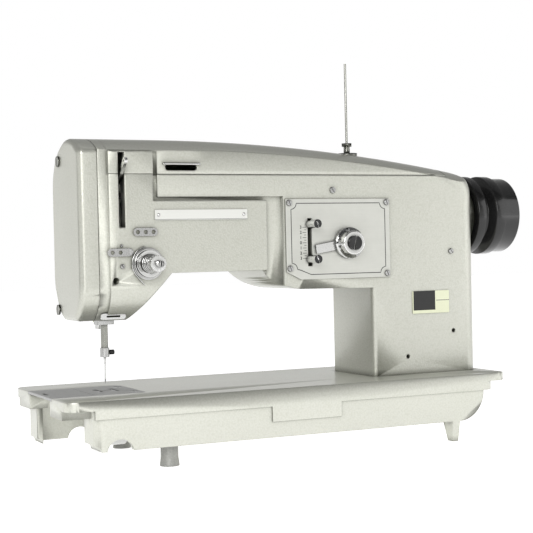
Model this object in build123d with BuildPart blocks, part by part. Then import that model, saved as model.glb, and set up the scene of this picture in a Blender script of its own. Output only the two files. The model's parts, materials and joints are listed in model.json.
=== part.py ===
from build123d import *
import os
from math import atan2, degrees, sqrt

# Flat-bed zigzag sewing machine head.
# Frame: +X from the needle end towards the handwheel, +Y from the operator to the back, +Z up.
# Origin: on the floor plane that the feet rest on, in the middle of the overall length and of the bed's
# width. Lengths along the bed are measured from its left end, heights from its top or from the floor.

# ---- driving dimensions (mm) ----
overall_length = 539.0        # bed's left end to the handwheel's outer face
bed_length = 481.5
bed_width = 178.0
bed_top = 68.0                # bed's top above the floor
rim_depth = 17.2
top_layer_depth = 8.2         # the bed's thin right-hand tongue
second_layer_length = 466.0
plate_thickness = 7.0
skirt_depth = 47.5            # bed's top to the skirt's lower edge
skirt_wall = 6.0
skirt_step = 1.2              # the skirt stands this far behind the rim
skirt_start = 27.0
back_skirt_start = 12.0
back_skirt_depth = 55.5
skirt_end = 452.0
skirt_foot_end = 424.7

arm_front = -45.0             # the casting's main front face
arm_back = 45.0
arm_wall = 6.0
column_left = 345.0
column_right = 475.0
crown_height = 246.5          # crown's top above the bed over the head
crown_straight_end = 120.0
crown_radius = 1950.0         # long arc of the crown towards the handwheel
crown_shoulder = 13.0         # front shoulder below the crown's top
crown_back_radius = 49.0
cover_split = 209.9           # parting line of the top cover, above the bed
cover_wall = 3.5
cover_start = 58.0
cover_end = 442.0

head_start = 48.8             # the arm casting's left end
head_bottom = 70.0
head_toe_end = 80.0
arm_bottom = 114.4
belly_bottom = 93.0
pad_height = 3.0              # head pad's height over the main front face
recess_depth = 4.0            # recess behind the main front face
pad_start = 58.8
pad_right = 223.6
recess_right = 243.6
box_top = 185.5
groove_top = 188.5
groove_left = 103.5
groove_width = 5.5

needle_from_end = 66.8        # needle's place along the bed
needle_tip_height = 7.0
needle_radius = 0.9
bar_radius = 3.5
presser_offset = 16.0         # presser bar behind the needle bar
presser_radius = 4.0
running_fit = 0.05            # radial clearance of shafts and bars in their bushes
shaft_height = 168.0          # main shaft above the bed
shaft_radius = 7.0
hook_shaft_drop = 38.0        # hook shaft below the bed's top
hook_shaft_radius = 5.0
hook_radius = 16.0
crank_throw = 14.0
rod_length = 45.0
swing_pivot_height = 200.0

wheel_radius = 43.2
wheel_start = 482.0
spool_pin_from_end = 343.0
spool_pin_top = 331.5
spool_thread_radius = 3.0

# ---- derived places ----
bed_left = -overall_length / 2
needle_x = bed_left + needle_from_end
shaft_z = bed_top + shaft_height
hook_z = bed_top - hook_shaft_drop
wheel_outer_x = overall_length / 2


def along(distance):
    """x of a place measured from the bed's left end"""
    return bed_left + distance


def above(height):
    """z of a place measured from the bed's top"""
    return bed_top + height


def crown_z(distance):
    """z of the crown's ridge at a distance from the bed's left end"""
    run = max(distance - crown_straight_end, 0)
    return above(crown_height) - crown_radius + sqrt(crown_radius**2 - run**2)


def save(name, piece):
    """label a finished piece and write its file"""
    piece.part.label = name
    export_step(piece.part, "parts/" + name + ".step")


os.makedirs("parts", exist_ok=True)

# ---- bed casting ----
slot_half = 41.0              # half the width of the recess for the slide and needle plates
slot_end = 95.0
slot_corner = 6.0
slot_ledge = 6.0              # ledge that carries the plates on each side
opening_end = 80.0            # right end of the opening under the plates
recess_plate_depth = 2.6
bed_corner = 12.0
skirt_corner = 6.0            # rounding of the skirt's lower left corners
skirt_end_radius = 10.0       # rounding of the skirt's upright left edges
arch_place = 51.0
back_arch_place = 65.0
arch_half = 13.0
arch_height = 10.9
end_wall_depth = 35.0         # left end wall behind the front and back faces
lip_width = 15.0
lip_length = 32.0
lip_depth = 9.0
pad_from = 206.0
pad_to = 282.0
pad_drop = 32.0
leg_left = 412.5
leg_right = 422.0
leg_right_foot = 419.0
leg_top_depth = 18.0
leg_foot_depth = 9.5
belt_x = along(408.0)
belt_width = 16.0
belt_slot = (20.0, 62.0)      # opening in the bed's top for the timing belt
hanger_x = (along(115.0), along(386.0))
hanger_length = 14.0
hanger_half = 10.0
bush_wall = 3.0
rock_shaft_y = 34.0
rock_shaft_z = 44.0
rock_shaft_radius = 4.0
hinge_socket_radius = 4.8
hinge_socket_depth = 24.0
hinge_socket_x = (along(80.0), along(396.0))
hinge_socket_z = above(-9.5)
peg_radius = 8.4
peg_foot_radius = 9.5
peg_place = (along(106.0), 68.5)
arm_bolt_radius = 4.0
arm_bolt_x = (along(360.0), along(451.0))
bolt_pocket_radius = 8.2
arm_bolt_y = 31.0
hanger_bottom = hook_z - hook_shaft_radius - bush_wall - 5
rim_z = above(-rim_depth)
skirt_bottom = above(-skirt_depth)
back_skirt_bottom = above(-back_skirt_depth)
half_width = bed_width / 2
skirt_half = half_width - skirt_step


def skirt_side(start, bottom, side):
    """one half of the skirt, solid to the bed's middle line: side is -1 at the front, 1 at the back"""
    with BuildPart() as half:
        with BuildSketch(Plane.XZ):
            with BuildLine():
                left_foot = (along(start + skirt_corner), bottom)
                right_foot = (along(skirt_foot_end), bottom)
                Line((along(start), rim_z), (along(start), bottom + skirt_corner))
                RadiusArc((along(start), bottom + skirt_corner), left_foot, skirt_corner)
                Line(left_foot, right_foot)
                right_curve = TangentArc((along(skirt_end), rim_z), right_foot, tangent=(0, -1))
                Line(right_curve @ 0, (along(start), rim_z))
            make_face()
        extrude(amount=-side * skirt_half)
        # rounded upright edge at the left end
        with BuildSketch(Plane.XY):
            with Locations((along((start + bed_length) / 2), 0)):
                RectangleRounded(bed_length - start, 2 * skirt_half, skirt_end_radius)
        extrude(amount=bed_top, mode=Mode.INTERSECT)
    return half.part


def skirt_arch(place, bottom, side):
    """what an arch cuts out of one side of the skirt"""
    with BuildPart() as cut:
        with BuildSketch(Plane.XZ):
            with BuildLine():
                curve = ThreePointArc((along(place - arch_half), bottom),
                                      (along(place), bottom + arch_height),
                                      (along(place + arch_half), bottom))
                Line(curve @ 1, curve @ 0)
            make_face()
        extrude(amount=-side * half_width)
    return cut.part


with BuildPart() as bed:
    # plate in two layers: the thin tongue at the right end, then the rim
    with BuildSketch(Plane.XY.offset(bed_top)):
        with Locations((along(bed_length / 2), 0)):
            RectangleRounded(bed_length, bed_width, bed_corner)
    extrude(amount=-top_layer_depth)
    with BuildSketch(Plane.XY.offset(above(-top_layer_depth))):
        with Locations((along(second_layer_length / 2), 0)):
            RectangleRounded(second_layer_length, bed_width, bed_corner)
    extrude(amount=-(rim_depth - top_layer_depth))
    # skirt, which reaches lower and further left at the back
    add(skirt_side(skirt_start, skirt_bottom, -1))
    add(skirt_side(back_skirt_start, back_skirt_bottom, 1))
    # raised pad in the middle of the front and back, flush with the rim
    with BuildSketch(Plane.XZ):
        with Locations((along((pad_from + pad_to) / 2), (rim_z + above(-pad_drop)) / 2)):
            Rectangle(pad_to - pad_from, pad_drop - rim_depth)
    extrude(amount=half_width, both=True)
    # hollow underside
    with BuildSketch(Plane.XY):
        with Locations((along((skirt_start + skirt_foot_end) / 2), 0)):
            Rectangle(skirt_foot_end - skirt_start - 2 * skirt_wall, 2 * (skirt_half - skirt_wall))
        with Locations((along(back_skirt_start + skirt_wall), 0)):
            Rectangle(half_width, skirt_half - skirt_wall, align=(Align.MIN, Align.MIN))
    extrude(amount=above(-plate_thickness), mode=Mode.SUBTRACT)
    # the left end is open between its two end walls
    with BuildSketch(Plane.XY):
        with Locations((along(lip_length / 2), 0)):
            Rectangle(lip_length + 20, 2 * (half_width - end_wall_depth))
    extrude(amount=rim_z, mode=Mode.SUBTRACT)
    with BuildSketch(Plane.XY):
        with Locations((along(opening_end / 2), 0)):
            Rectangle(opening_end, 2 * (slot_half - slot_ledge))
    extrude(amount=bed_top, mode=Mode.SUBTRACT)
    # thin lips at the left corners
    with BuildSketch(Plane.XY):
        for length, side in ((skirt_start, -1), (back_skirt_start, 1)):
            with Locations((along(length / 2), side * (half_width - lip_width / 2))):
                Rectangle(length, lip_width)
    extrude(amount=above(-lip_depth), mode=Mode.SUBTRACT)
    # arches in the front and back skirts
    add(skirt_arch(arch_place, skirt_bottom, -1), mode=Mode.SUBTRACT)
    add(skirt_arch(back_arch_place, back_skirt_bottom, 1), mode=Mode.SUBTRACT)
    # recess for the slide plate and the needle plate
    with BuildSketch(Plane.XY.offset(bed_top)):
        with Locations((along(slot_end / 2 - slot_corner), 0)):
            RectangleRounded(slot_end + 2 * slot_corner, 2 * slot_half, slot_corner)
    extrude(amount=-recess_plate_depth, mode=Mode.SUBTRACT)
    # opening for the timing belt under the column
    with BuildSketch(Plane.XY.offset(bed_top)):
        with Locations((belt_x, 0)):
            Rectangle(*belt_slot)
    extrude(amount=-plate_thickness, mode=Mode.SUBTRACT)
    # cast legs under the right end
    for side in (-1, 1):
        with BuildSketch(Plane.XY.offset(skirt_bottom)):
            with Locations((along((leg_left + leg_right) / 2), side * (skirt_half - leg_top_depth / 2))):
                Rectangle(leg_right - leg_left, leg_top_depth)
        with BuildSketch(Plane.XY):
            leg_middle = along((leg_left + leg_right_foot) / 2)
            with Locations((leg_middle, side * (skirt_half - leg_foot_depth / 2))):
                Rectangle(leg_right_foot - leg_left, leg_foot_depth)
        loft()
    # hangers for the hook shaft and the feed rock shaft
    hanger_back = rock_shaft_y + rock_shaft_radius + bush_wall + 3
    with BuildSketch(Plane.XY.offset(above(-plate_thickness))):
        for x in hanger_x:
            with Locations((x, (hanger_back - hanger_half) / 2)):
                Rectangle(hanger_length, hanger_back + hanger_half)
    extrude(amount=hanger_bottom - above(-plate_thickness))
    # bosses of the hinge sockets in the back edge
    with BuildSketch(Plane.XY.offset(rim_z)):
        for x in hinge_socket_x:
            with Locations((x, half_width - hinge_socket_depth / 2 - 3)):
                Rectangle(24, hinge_socket_depth)
    extrude(amount=rim_depth - plate_thickness)
    with BuildSketch(Plane.XZ.offset(-half_width)):
        with Locations(*[(x, hinge_socket_z) for x in hinge_socket_x]):
            Circle(hinge_socket_radius)
    extrude(amount=hinge_socket_depth, mode=Mode.SUBTRACT)
    # shaft bores and bolt holes
    with BuildSketch(Plane.YZ.offset(along(opening_end))):
        with Locations((0, hook_z)):
            Circle(hook_shaft_radius + bush_wall)
        with Locations((rock_shaft_y, rock_shaft_z)):
            Circle(rock_shaft_radius + running_fit)
    extrude(amount=hanger_x[1] + hanger_length - along(opening_end), mode=Mode.SUBTRACT)
    with BuildSketch(Plane.XY.offset(bed_top)):
        for x in arm_bolt_x:
            with Locations((x, arm_bolt_y), (x, -arm_bolt_y)):
                Circle(arm_bolt_radius)
    extrude(amount=-plate_thickness, mode=Mode.SUBTRACT)
    # pockets for the heads of the right-hand bolts
    with BuildSketch(Plane.XY):
        with Locations((arm_bolt_x[1], arm_bolt_y), (arm_bolt_x[1], -arm_bolt_y)):
            Circle(bolt_pocket_radius)
    extrude(amount=above(-plate_thickness), mode=Mode.SUBTRACT)
save("bed", bed)

# ---- arm casting ----
column_wall = 6.0
column_corner = 14.0          # rounding of the column's outer upright edges
throat_corner = 5.0
toe_angle_end = 121.0         # where the head's slanted edge meets the arm's underside
boss_radius = 35.0
boss_length = 6.0
bulkhead = (along(117.0), along(131.0))
bush_outer = shaft_radius + 4.0
cavity_floor = 122.0
cavity_top = 205.0
slot_x = along(71.4)
slot_width = 6.4
slot_low = 159.0
slot_high = 231.0
oval_slot_x = along(134.0)
oval_slot_length = 33.4
oval_slot_height = 217.0
oval_slot_rise = 3.2           # the wire guide runs along the slot's upper edge
frame_wall = 3.5
frame_front = -bar_radius - frame_wall
spine_front = bar_radius + 1.1
spine_back = spine_front + 3.0
frame_width = 18.0
head_opening = (54.0, 83.0)   # opening in the head's floor for the needle bar frame
head_opening_half = spine_back + 0.4
head_opening_depth = 14.0     # past the floor, so that the swinging frame clears the slanted wall
take_up_pin_y = -20.0
take_up_pin_height = 190.0
take_up_pin_radius = 3.0
zigzag_rod_y = -25.0
zigzag_rod_height = 154.0
zigzag_rod_radius = 2.5
knob_x = along(316.0)
knob_z = above(140.0)
width_slot_x = along(272.4)
width_slot = (117.0, 166.0)
width_slot_width = 5.0
shelf = (180.0, 188.0)        # shelf inside the head that guides the presser bar
presser_bush_radius = 6.0
tension_x = along(96.5)
tension_z = above(124.0)
pad_front = arm_front - pad_height
head_floor = above(head_bottom + arm_wall)
arm_toe_reach = 21.0          # how far the head's front curves back at its foot
back_toe_reach = 27.0
toe_start = 104.0             # heights where the head's front and back start to curve in
back_toe_start = 122.0
end_radius = 30.0             # rounded shoulder at the column's top
section_base = crown_height - 90.0
crown_start = 30.0
arm_boss_height = 24.0
tension_stud_radius = 3.0
width_shaft_radius = 4.0
swing_pin_radius = 4.0
lifter_x = along(needle_from_end + 12.0)
collar_height = (148.0, 156.0)
cam_radius = 8.0
cam_drop = 2.97               # sideways and downward offset of the lifter's eccentric
cam_gap = 0.4
lifter_z = above(collar_height[0] - cam_gap - cam_radius + cam_drop)
lifter_shaft_radius = 4.0
cavity_half = 36.0            # half width of the hollow arm
wide_cavity_floor = 114.0     # the head is hollow to its full width above this height
head_cavity_half = 21.5       # half width of the hollow in the head's curved foot


def crown_section(inset):
    """closed section of the crown: flat front, front shoulder, dome, round back"""
    ridge = above(crown_height) - inset
    radius = crown_back_radius - inset
    front = arm_front + inset
    back = arm_back - inset
    shoulder = (front, ridge - crown_shoulder)
    peak = (back - radius, ridge)
    with BuildLine() as section:
        Line((front, above(section_base)), shoulder)
        ThreePointArc(shoulder, ((front + peak[0]) / 2, ridge - crown_shoulder * 0.28), peak)
        RadiusArc(peak, (back, ridge - radius), radius)
        Line((back, ridge - radius), (back, above(section_base)))
        Line((back, above(section_base)), (front, above(section_base)))
    return section.line


def ridge_path(first, last, inset):
    """ridge line of the crown: level over the head, then one long falling arc"""
    ridge = above(crown_height) - inset
    with BuildLine(Plane.XZ) as path:
        level = Line((along(first), ridge), (along(crown_straight_end), ridge))
        RadiusArc(level @ 1, (along(last), crown_z(last) - inset), crown_radius)
    return path.line


def front_toe_cut(front):
    """closed outline of what is cut away under the head's curved front"""
    low = (front + arm_toe_reach, above(head_bottom))
    with BuildLine() as outline:
        curve = ThreePointArc((front, above(toe_start)), (front + 5.5, above(toe_start - 20)), low)
        Polyline(curve @ 1, (low[0], above(head_bottom - 20)), (front - 20, above(head_bottom - 20)),
                 (front - 20, above(toe_start)), curve @ 0)
    return outline.line


def back_toe_cut(back):
    """closed outline of what is cut away under the head's curved back"""
    low = (back - back_toe_reach, above(head_bottom))
    with BuildLine() as outline:
        curve = ThreePointArc((back, above(back_toe_start)), (back - 7, above(back_toe_start - 32)), low)
        Polyline(curve @ 1, (low[0], above(head_bottom - 20)), (back + 20, above(head_bottom - 20)),
                 (back + 20, above(back_toe_start)), curve @ 0)
    return outline.line


# the crown's outside and inside, shared by the arm casting, the top cover and the face cover
with BuildPart() as crown:
    with BuildSketch(Plane.YZ.offset(along(crown_start))):
        with BuildLine():
            add(crown_section(0))
        make_face()
    sweep(path=ridge_path(crown_start, column_right + 10, 0))

with BuildPart() as crown_core:
    with BuildSketch(Plane.YZ.offset(along(crown_start))):
        with BuildLine():
            add(crown_section(cover_wall))
        make_face()
    sweep(path=ridge_path(crown_start, column_right + 10, cover_wall))

# everything the arm casting may fill: the crown, and the straight body under it
with BuildPart() as arm_envelope:
    add(crown.part)
    with BuildSketch(Plane.XY.offset(bed_top)):
        with Locations((along((crown_start + column_right + 10) / 2), 0)):
            Rectangle(column_right + 10 - crown_start, arm_back - arm_front)
    extrude(amount=section_base + 3)

# hollow of the arm and the column, kept inside the crown's round back
with BuildPart() as tunnel:
    with BuildSketch(Plane.XZ):
        with BuildLine():
            right_wall = along(column_right - column_wall)
            left_wall = along(column_left + column_wall)
            Polyline((bulkhead[1], above(cavity_floor)), (along(225), above(cavity_floor)),
                     (along(262), above(belly_bottom + 8)), (left_wall, above(belly_bottom + 8)),
                     (left_wall, bed_top), (right_wall, bed_top), (right_wall, above(cover_split - 10)),
                     (along(cover_end - 2), above(cover_split)),
                     (bulkhead[1], above(cover_split)), close=True)
        make_face()
    extrude(amount=cavity_half, both=True)

with BuildPart() as tunnel_top:
    add(tunnel.part)
    add(crown_core.part, mode=Mode.INTERSECT)

with BuildPart() as tunnel_base:
    add(tunnel.part)
    with BuildSketch(Plane.XY.offset(above(section_base + 3))):
        Rectangle(overall_length, bed_width)
    extrude(amount=crown_height, mode=Mode.SUBTRACT)

with BuildPart() as arm:
    # column, arm and head in one silhouette, under the crown
    with BuildSketch(Plane.XZ):
        with BuildLine():
            top = above(crown_height + 10)
            corner = column_right - end_radius
            corner_z = crown_z(corner) - end_radius
            belly = RadiusArc((along(219), above(arm_bottom)), (along(262), above(belly_bottom + 1.2)), -70)
            Polyline((along(head_start), top), (along(head_start), above(head_bottom)),
                     (along(head_toe_end), above(head_bottom)), (along(toe_angle_end), above(arm_bottom)),
                     belly @ 0)
            Polyline(belly @ 1, (along(column_left), above(belly_bottom)), (along(column_left), bed_top),
                     (along(column_right), bed_top), (along(column_right), corner_z))
            RadiusArc((along(column_right), corner_z), (along(corner), crown_z(corner)), -end_radius)
            Polyline((along(corner), crown_z(corner)), (along(corner), top), (along(head_start), top))
        make_face()
    extrude(amount=-arm_front, both=True)
    # softened column edges
    column_edges = arm.edges().filter_by(Axis.Z).filter_by(lambda e: e.length > 60)
    for edge_x, radius in ((column_right, column_corner), (column_left, throat_corner)):
        fillet(column_edges.filter_by(lambda e: abs(e.center().X - along(edge_x)) < 1), radius=radius)
    add(arm_envelope.part, mode=Mode.INTERSECT)
    # recess to the right of the head pad, and the groove above it
    with BuildSketch(Plane.XZ.offset(-arm_front)):
        with Locations((along((pad_right + recess_right) / 2), above((groove_top + 80) / 2))):
            Rectangle(recess_right - pad_right, groove_top - 80)
        with Locations((along((groove_left + recess_right) / 2), above(groove_top - groove_width / 2))):
            Rectangle(recess_right - groove_left, groove_width)
        with Locations((along(groove_left), above(groove_top - groove_width))):
            Rectangle(groove_width, slot_high - groove_top + groove_width, align=(Align.MIN, Align.MIN))
    extrude(amount=-recess_depth, mode=Mode.SUBTRACT)
    # raised pad on the head's front
    with BuildSketch(Plane.XZ.offset(-arm_front)):
        with BuildLine():
            Polyline((along(pad_start), above(head_bottom)), (along(head_toe_end), above(head_bottom)),
                     (along(toe_angle_end), above(arm_bottom)), (along(pad_right), above(arm_bottom)),
                     (along(pad_right), above(box_top - 1)), (along(groove_left), above(box_top - 1)),
                     (along(groove_left), above(cover_split)), (along(pad_start), above(cover_split)),
                     close=True)
        make_face()
    extrude(amount=pad_height)
    # the head's front and back curve in towards its underside
    with BuildSketch(Plane.YZ.offset(along(head_start))):
        with BuildLine():
            add(front_toe_cut(arm_front))
        make_face()
        with BuildLine():
            add(back_toe_cut(arm_back))
        make_face()
    extrude(amount=pad_start - head_start, mode=Mode.SUBTRACT)
    with BuildSketch(Plane.YZ.offset(along(pad_start))):
        with BuildLine():
            add(front_toe_cut(pad_front))
        make_face()
        with BuildLine():
            add(back_toe_cut(arm_back))
        make_face()
    extrude(amount=toe_angle_end + 10 - pad_start, mode=Mode.SUBTRACT)
    # boss of the main shaft's outer bearing
    with BuildSketch(Plane.YZ.offset(along(column_right - 1))):
        with Locations((0, shaft_z)):
            Circle(boss_radius)
    extrude(amount=boss_length + 1)
    # everything above the parting line between the cover's two ends belongs to the top cover
    with BuildSketch(Plane.XY.offset(above(cover_split))):
        with Locations((along((cover_start + cover_end) / 2), 0)):
            Rectangle(cover_end - cover_start, bed_width)
    extrude(amount=60, mode=Mode.SUBTRACT)
    # hollow: arm tunnel and column, then the head
    add(tunnel_top.part, mode=Mode.SUBTRACT)
    add(tunnel_base.part, mode=Mode.SUBTRACT)
    with BuildSketch(Plane.XZ):
        with BuildLine():
            Polyline((along(head_start), head_floor), (along(head_toe_end - 3), head_floor),
                     (bulkhead[0], above(arm_bottom + 8)), (bulkhead[0], above(cover_split)),
                     (along(head_start), above(cover_split)), close=True)
        make_face()
    extrude(amount=head_cavity_half, both=True, mode=Mode.SUBTRACT)
    # open end of the head behind the face cover, up under the crown
    with BuildSketch(Plane.YZ.offset(along(head_start))):
        with Locations((0, above(cavity_top + 5))):
            Rectangle(2 * head_cavity_half, 20)
    extrude(amount=cover_start - head_start, mode=Mode.SUBTRACT)
    # wide part of the head's cavity above its curved foot
    with BuildSketch(Plane.XZ):
        with Locations(((along(head_start) + bulkhead[0]) / 2, above((wide_cavity_floor + cover_split) / 2))):
            Rectangle(bulkhead[0] - along(head_start), cover_split - wide_cavity_floor)
    extrude(amount=cavity_half, both=True, mode=Mode.SUBTRACT)
    # shelf that guides the presser bar, from the back wall
    with BuildSketch(Plane.XY.offset(above(shelf[0]))):
        with Locations((needle_x, (presser_offset - 6.5 + cavity_half) / 2)):
            Rectangle(18, cavity_half - presser_offset + 6.5)
    extrude(amount=shelf[1] - shelf[0])
    # bosses for the bolts that hold the arm down on the bed
    with BuildSketch(Plane.XY.offset(bed_top)):
        with Locations(*[(x, y) for x in arm_bolt_x for y in (-arm_bolt_y, arm_bolt_y)]):
            Circle(9)
    extrude(amount=arm_boss_height)
    with BuildSketch(Plane.XY.offset(bed_top)):
        with Locations(*[(x, y) for x in arm_bolt_x for y in (-arm_bolt_y, arm_bolt_y)]):
            Circle(arm_bolt_radius)
    extrude(amount=arm_boss_height - 5, mode=Mode.SUBTRACT)
    # bores along the shafts: main bushes, zigzag rod, take-up pin
    with BuildSketch(Plane.YZ.offset(bulkhead[0])):
        with Locations((0, shaft_z)):
            Circle(bush_outer)
        with Locations((zigzag_rod_y, above(zigzag_rod_height))):
            Circle(zigzag_rod_radius + running_fit)
        with Locations((take_up_pin_y, above(take_up_pin_height))):
            Circle(take_up_pin_radius)
    extrude(amount=bulkhead[1] - bulkhead[0], mode=Mode.SUBTRACT)
    with BuildSketch(Plane.YZ.offset(along(column_right - column_wall - 1))):
        with Locations((0, shaft_z)):
            Circle(bush_outer)
    extrude(amount=column_wall + boss_length + 2, mode=Mode.SUBTRACT)
    # front wall: take-up slot, tension stud, oil hole, width slot, knob shaft, wire guide slot
    with BuildSketch(Plane.XZ.offset(-pad_front)):
        with Locations((slot_x, above((slot_low + slot_high) / 2))):
            Rectangle(slot_width, slot_high - slot_low)
        with Locations((tension_x, tension_z)):
            Circle(tension_stud_radius)
        with Locations((along(64.2), above(108.4))):
            Circle(3.2)
        with Locations((width_slot_x, above((width_slot[0] + width_slot[1]) / 2))):
            Rectangle(width_slot_width, width_slot[1] - width_slot[0])
        with Locations((knob_x, knob_z)):
            Circle(width_shaft_radius + running_fit)
    extrude(amount=-(cavity_half - 24 + pad_height + 9), mode=Mode.SUBTRACT)
    # column's front face: oil holes
    with BuildSketch(Plane.XZ.offset(-arm_front)):
        with Locations((along(386.8), above(18.7)), (along(444.2), above(43.9))):
            Circle(2.2)
    extrude(amount=-(arm_back - cavity_half), mode=Mode.SUBTRACT)
    # back wall: pivot of the needle bar frame and shaft of the presser lifter
    with BuildSketch(Plane.XZ.offset(-arm_back)):
        with Locations((needle_x, above(swing_pivot_height))):
            Circle(swing_pin_radius)
        with Locations((lifter_x, lifter_z)):
            Circle(lifter_shaft_radius + running_fit)
    extrude(amount=arm_back - cavity_half, mode=Mode.SUBTRACT)
    # head floor: opening of the needle bar frame and bore of the presser bush
    with BuildSketch(Plane.XY.offset(above(head_bottom))):
        with Locations((along((head_opening[0] + head_opening[1]) / 2), 0)):
            Rectangle(head_opening[1] - head_opening[0], 2 * head_opening_half)
        with Locations((needle_x, presser_offset)):
            Circle(presser_bush_radius)
    extrude(amount=head_opening_depth, mode=Mode.SUBTRACT)
    with BuildSketch(Plane.XY.offset(above(shelf[0]))):
        with Locations((needle_x, presser_offset)):
            Circle(presser_radius + running_fit)
    extrude(amount=shelf[1] - shelf[0], mode=Mode.SUBTRACT)
save("arm", arm)

# ---- covers ----
cover_seam = 0.6              # reveal groove along the covers' joints
seam_depth = 0.9
cover_pad_top = 232.0
cover_groove_depth = 2.2
cover_screw_radius = 2.0
cover_screw_head = 5.2
cover_screw_x = (along(196.0), along(404.0))
cover_screw_y = 14.0          # behind the crown's ridge
cover_screw_reach = cover_screw_y - arm_back + crown_back_radius
cover_screw_drop = crown_back_radius - sqrt(crown_back_radius**2 - cover_screw_reach**2)
face_wall = 4.0
face_screws = ((19.0, 226.0), (27.0, 80.0))
face_edge = 5.0
face_corner = 8.0

with BuildPart() as top_cover:
    add(crown.part)
    with BuildSketch(Plane.XY.offset(above(cover_split))):
        with Locations((along((cover_start + cover_end) / 2), 0)):
            Rectangle(cover_end - cover_start, bed_width)
    extrude(amount=60, mode=Mode.INTERSECT)
    # pad on the head's front, flush with the casting's pad
    with BuildSketch(Plane.XZ.offset(-arm_front)):
        with Locations((along((pad_start + groove_left) / 2), above((cover_split + cover_pad_top) / 2))):
            Rectangle(groove_left - pad_start, cover_pad_top - cover_split)
    extrude(amount=pad_height)
    # hollow inside
    add(crown_core.part, mode=Mode.SUBTRACT)
    with BuildSketch(Plane.XZ.offset(-arm_front)):
        # groove beside the pad
        with Locations((along(groove_left + groove_width / 2), above((cover_split + cover_pad_top) / 2))):
            Rectangle(groove_width, cover_pad_top - cover_split)
        # reveal along the parting line
        with Locations((along((groove_left + cover_end) / 2), above(cover_split + cover_seam / 2))):
            Rectangle(cover_end - groove_left, cover_seam)
    extrude(amount=-cover_groove_depth, mode=Mode.SUBTRACT)
    with BuildSketch(Plane.XZ.offset(-pad_front)):
        with Locations((along((pad_start + groove_left) / 2), above(cover_split + cover_seam / 2))):
            Rectangle(groove_left - pad_start, cover_seam)
    extrude(amount=-seam_depth, mode=Mode.SUBTRACT)
    with BuildSketch(Plane.XZ.offset(-arm_back)):
        with Locations((along((cover_start + cover_end) / 2), above(cover_split + cover_seam / 2))):
            Rectangle(cover_end - cover_start, cover_seam)
    extrude(amount=seam_depth, mode=Mode.SUBTRACT)
    # take-up slot and the slot of the wire guide
    with BuildSketch(Plane.XZ.offset(-pad_front)):
        with Locations((slot_x, above((slot_low + slot_high) / 2))):
            Rectangle(slot_width, slot_high - slot_low)
        with Locations((oval_slot_x, above(oval_slot_height))):
            SlotOverall(oval_slot_length, 6.4)
    extrude(amount=-(pad_height + 8), mode=Mode.SUBTRACT)
    # holes of the cover screws and of the spool pin
    with BuildSketch(Plane.XY.offset(above(cover_split))):
        with Locations(*[(x, cover_screw_y) for x in cover_screw_x]):
            Circle(cover_screw_radius)
        with Locations((along(spool_pin_from_end), 0)):
            Circle(spool_thread_radius)
    extrude(amount=60, mode=Mode.SUBTRACT)
save("top_cover", top_cover)

with BuildPart() as face_core:
    with BuildSketch(Plane.YZ.offset(along(crown_start) + face_wall)):
        with BuildLine():
            add(crown_section(face_wall))
        make_face()
        with Locations((0, above((section_base + head_bottom + face_wall) / 2 + 1))):
            Rectangle(2 * (arm_back - face_wall), section_base - head_bottom - face_wall + 4)
    extrude(amount=head_start - crown_start)
    with BuildSketch(Plane.YZ.offset(along(crown_start))):
        with BuildLine():
            add(front_toe_cut(arm_front + face_wall))
        make_face()
        with BuildLine():
            add(back_toe_cut(arm_back - face_wall))
        make_face()
    extrude(amount=head_start, mode=Mode.SUBTRACT)

with BuildPart() as face_cover:
    with BuildSketch(Plane.YZ.offset(along(crown_start) + face_edge)):
        with BuildLine():
            add(crown_section(0))
        make_face()
        with Locations((0, above((section_base + head_bottom) / 2 + 1))):
            Rectangle(2 * arm_back, section_base - head_bottom + 2)
    extrude(amount=head_start - crown_start - face_edge)
    with BuildSketch(Plane.YZ.offset(along(crown_start))):
        with BuildLine():
            add(front_toe_cut(arm_front))
        make_face()
        with BuildLine():
            add(back_toe_cut(arm_back))
        make_face()
    extrude(amount=head_start - crown_start, mode=Mode.SUBTRACT)
    # soften the shoulder and the underside's two corners, then round the outer edge in two bevels
    fillet(face_cover.edges().filter_by(Axis.X).sort_by(Axis.Z)[:2], radius=face_corner)
    fillet(face_cover.edges().filter_by(Axis.X).sort_by(Axis.Z)[-2:].sort_by(Axis.Y)[:1], radius=face_corner)
    for taper in (22, 58):
        extrude(face_cover.faces().sort_by(Axis.X)[0], amount=face_edge / 2, taper=taper)
    add(face_core.part, mode=Mode.SUBTRACT)
    # reveal groove at the joint with the casting
    with BuildSketch(Plane.YZ.offset(along(head_start) - cover_seam)):
        with Locations((0, above(160))):
            Rectangle(bed_width, 220)
        with Locations((0, above(160))):
            Rectangle(2 * arm_back - 2 * seam_depth, 150, mode=Mode.SUBTRACT)
    extrude(amount=cover_seam, mode=Mode.SUBTRACT)
    with BuildSketch(Plane.YZ.offset(along(crown_start))):
        with Locations(*[(y, above(z)) for y, z in face_screws]):
            Circle(cover_screw_radius)
    extrude(amount=face_wall, mode=Mode.SUBTRACT)
save("face_cover", face_cover)

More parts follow.
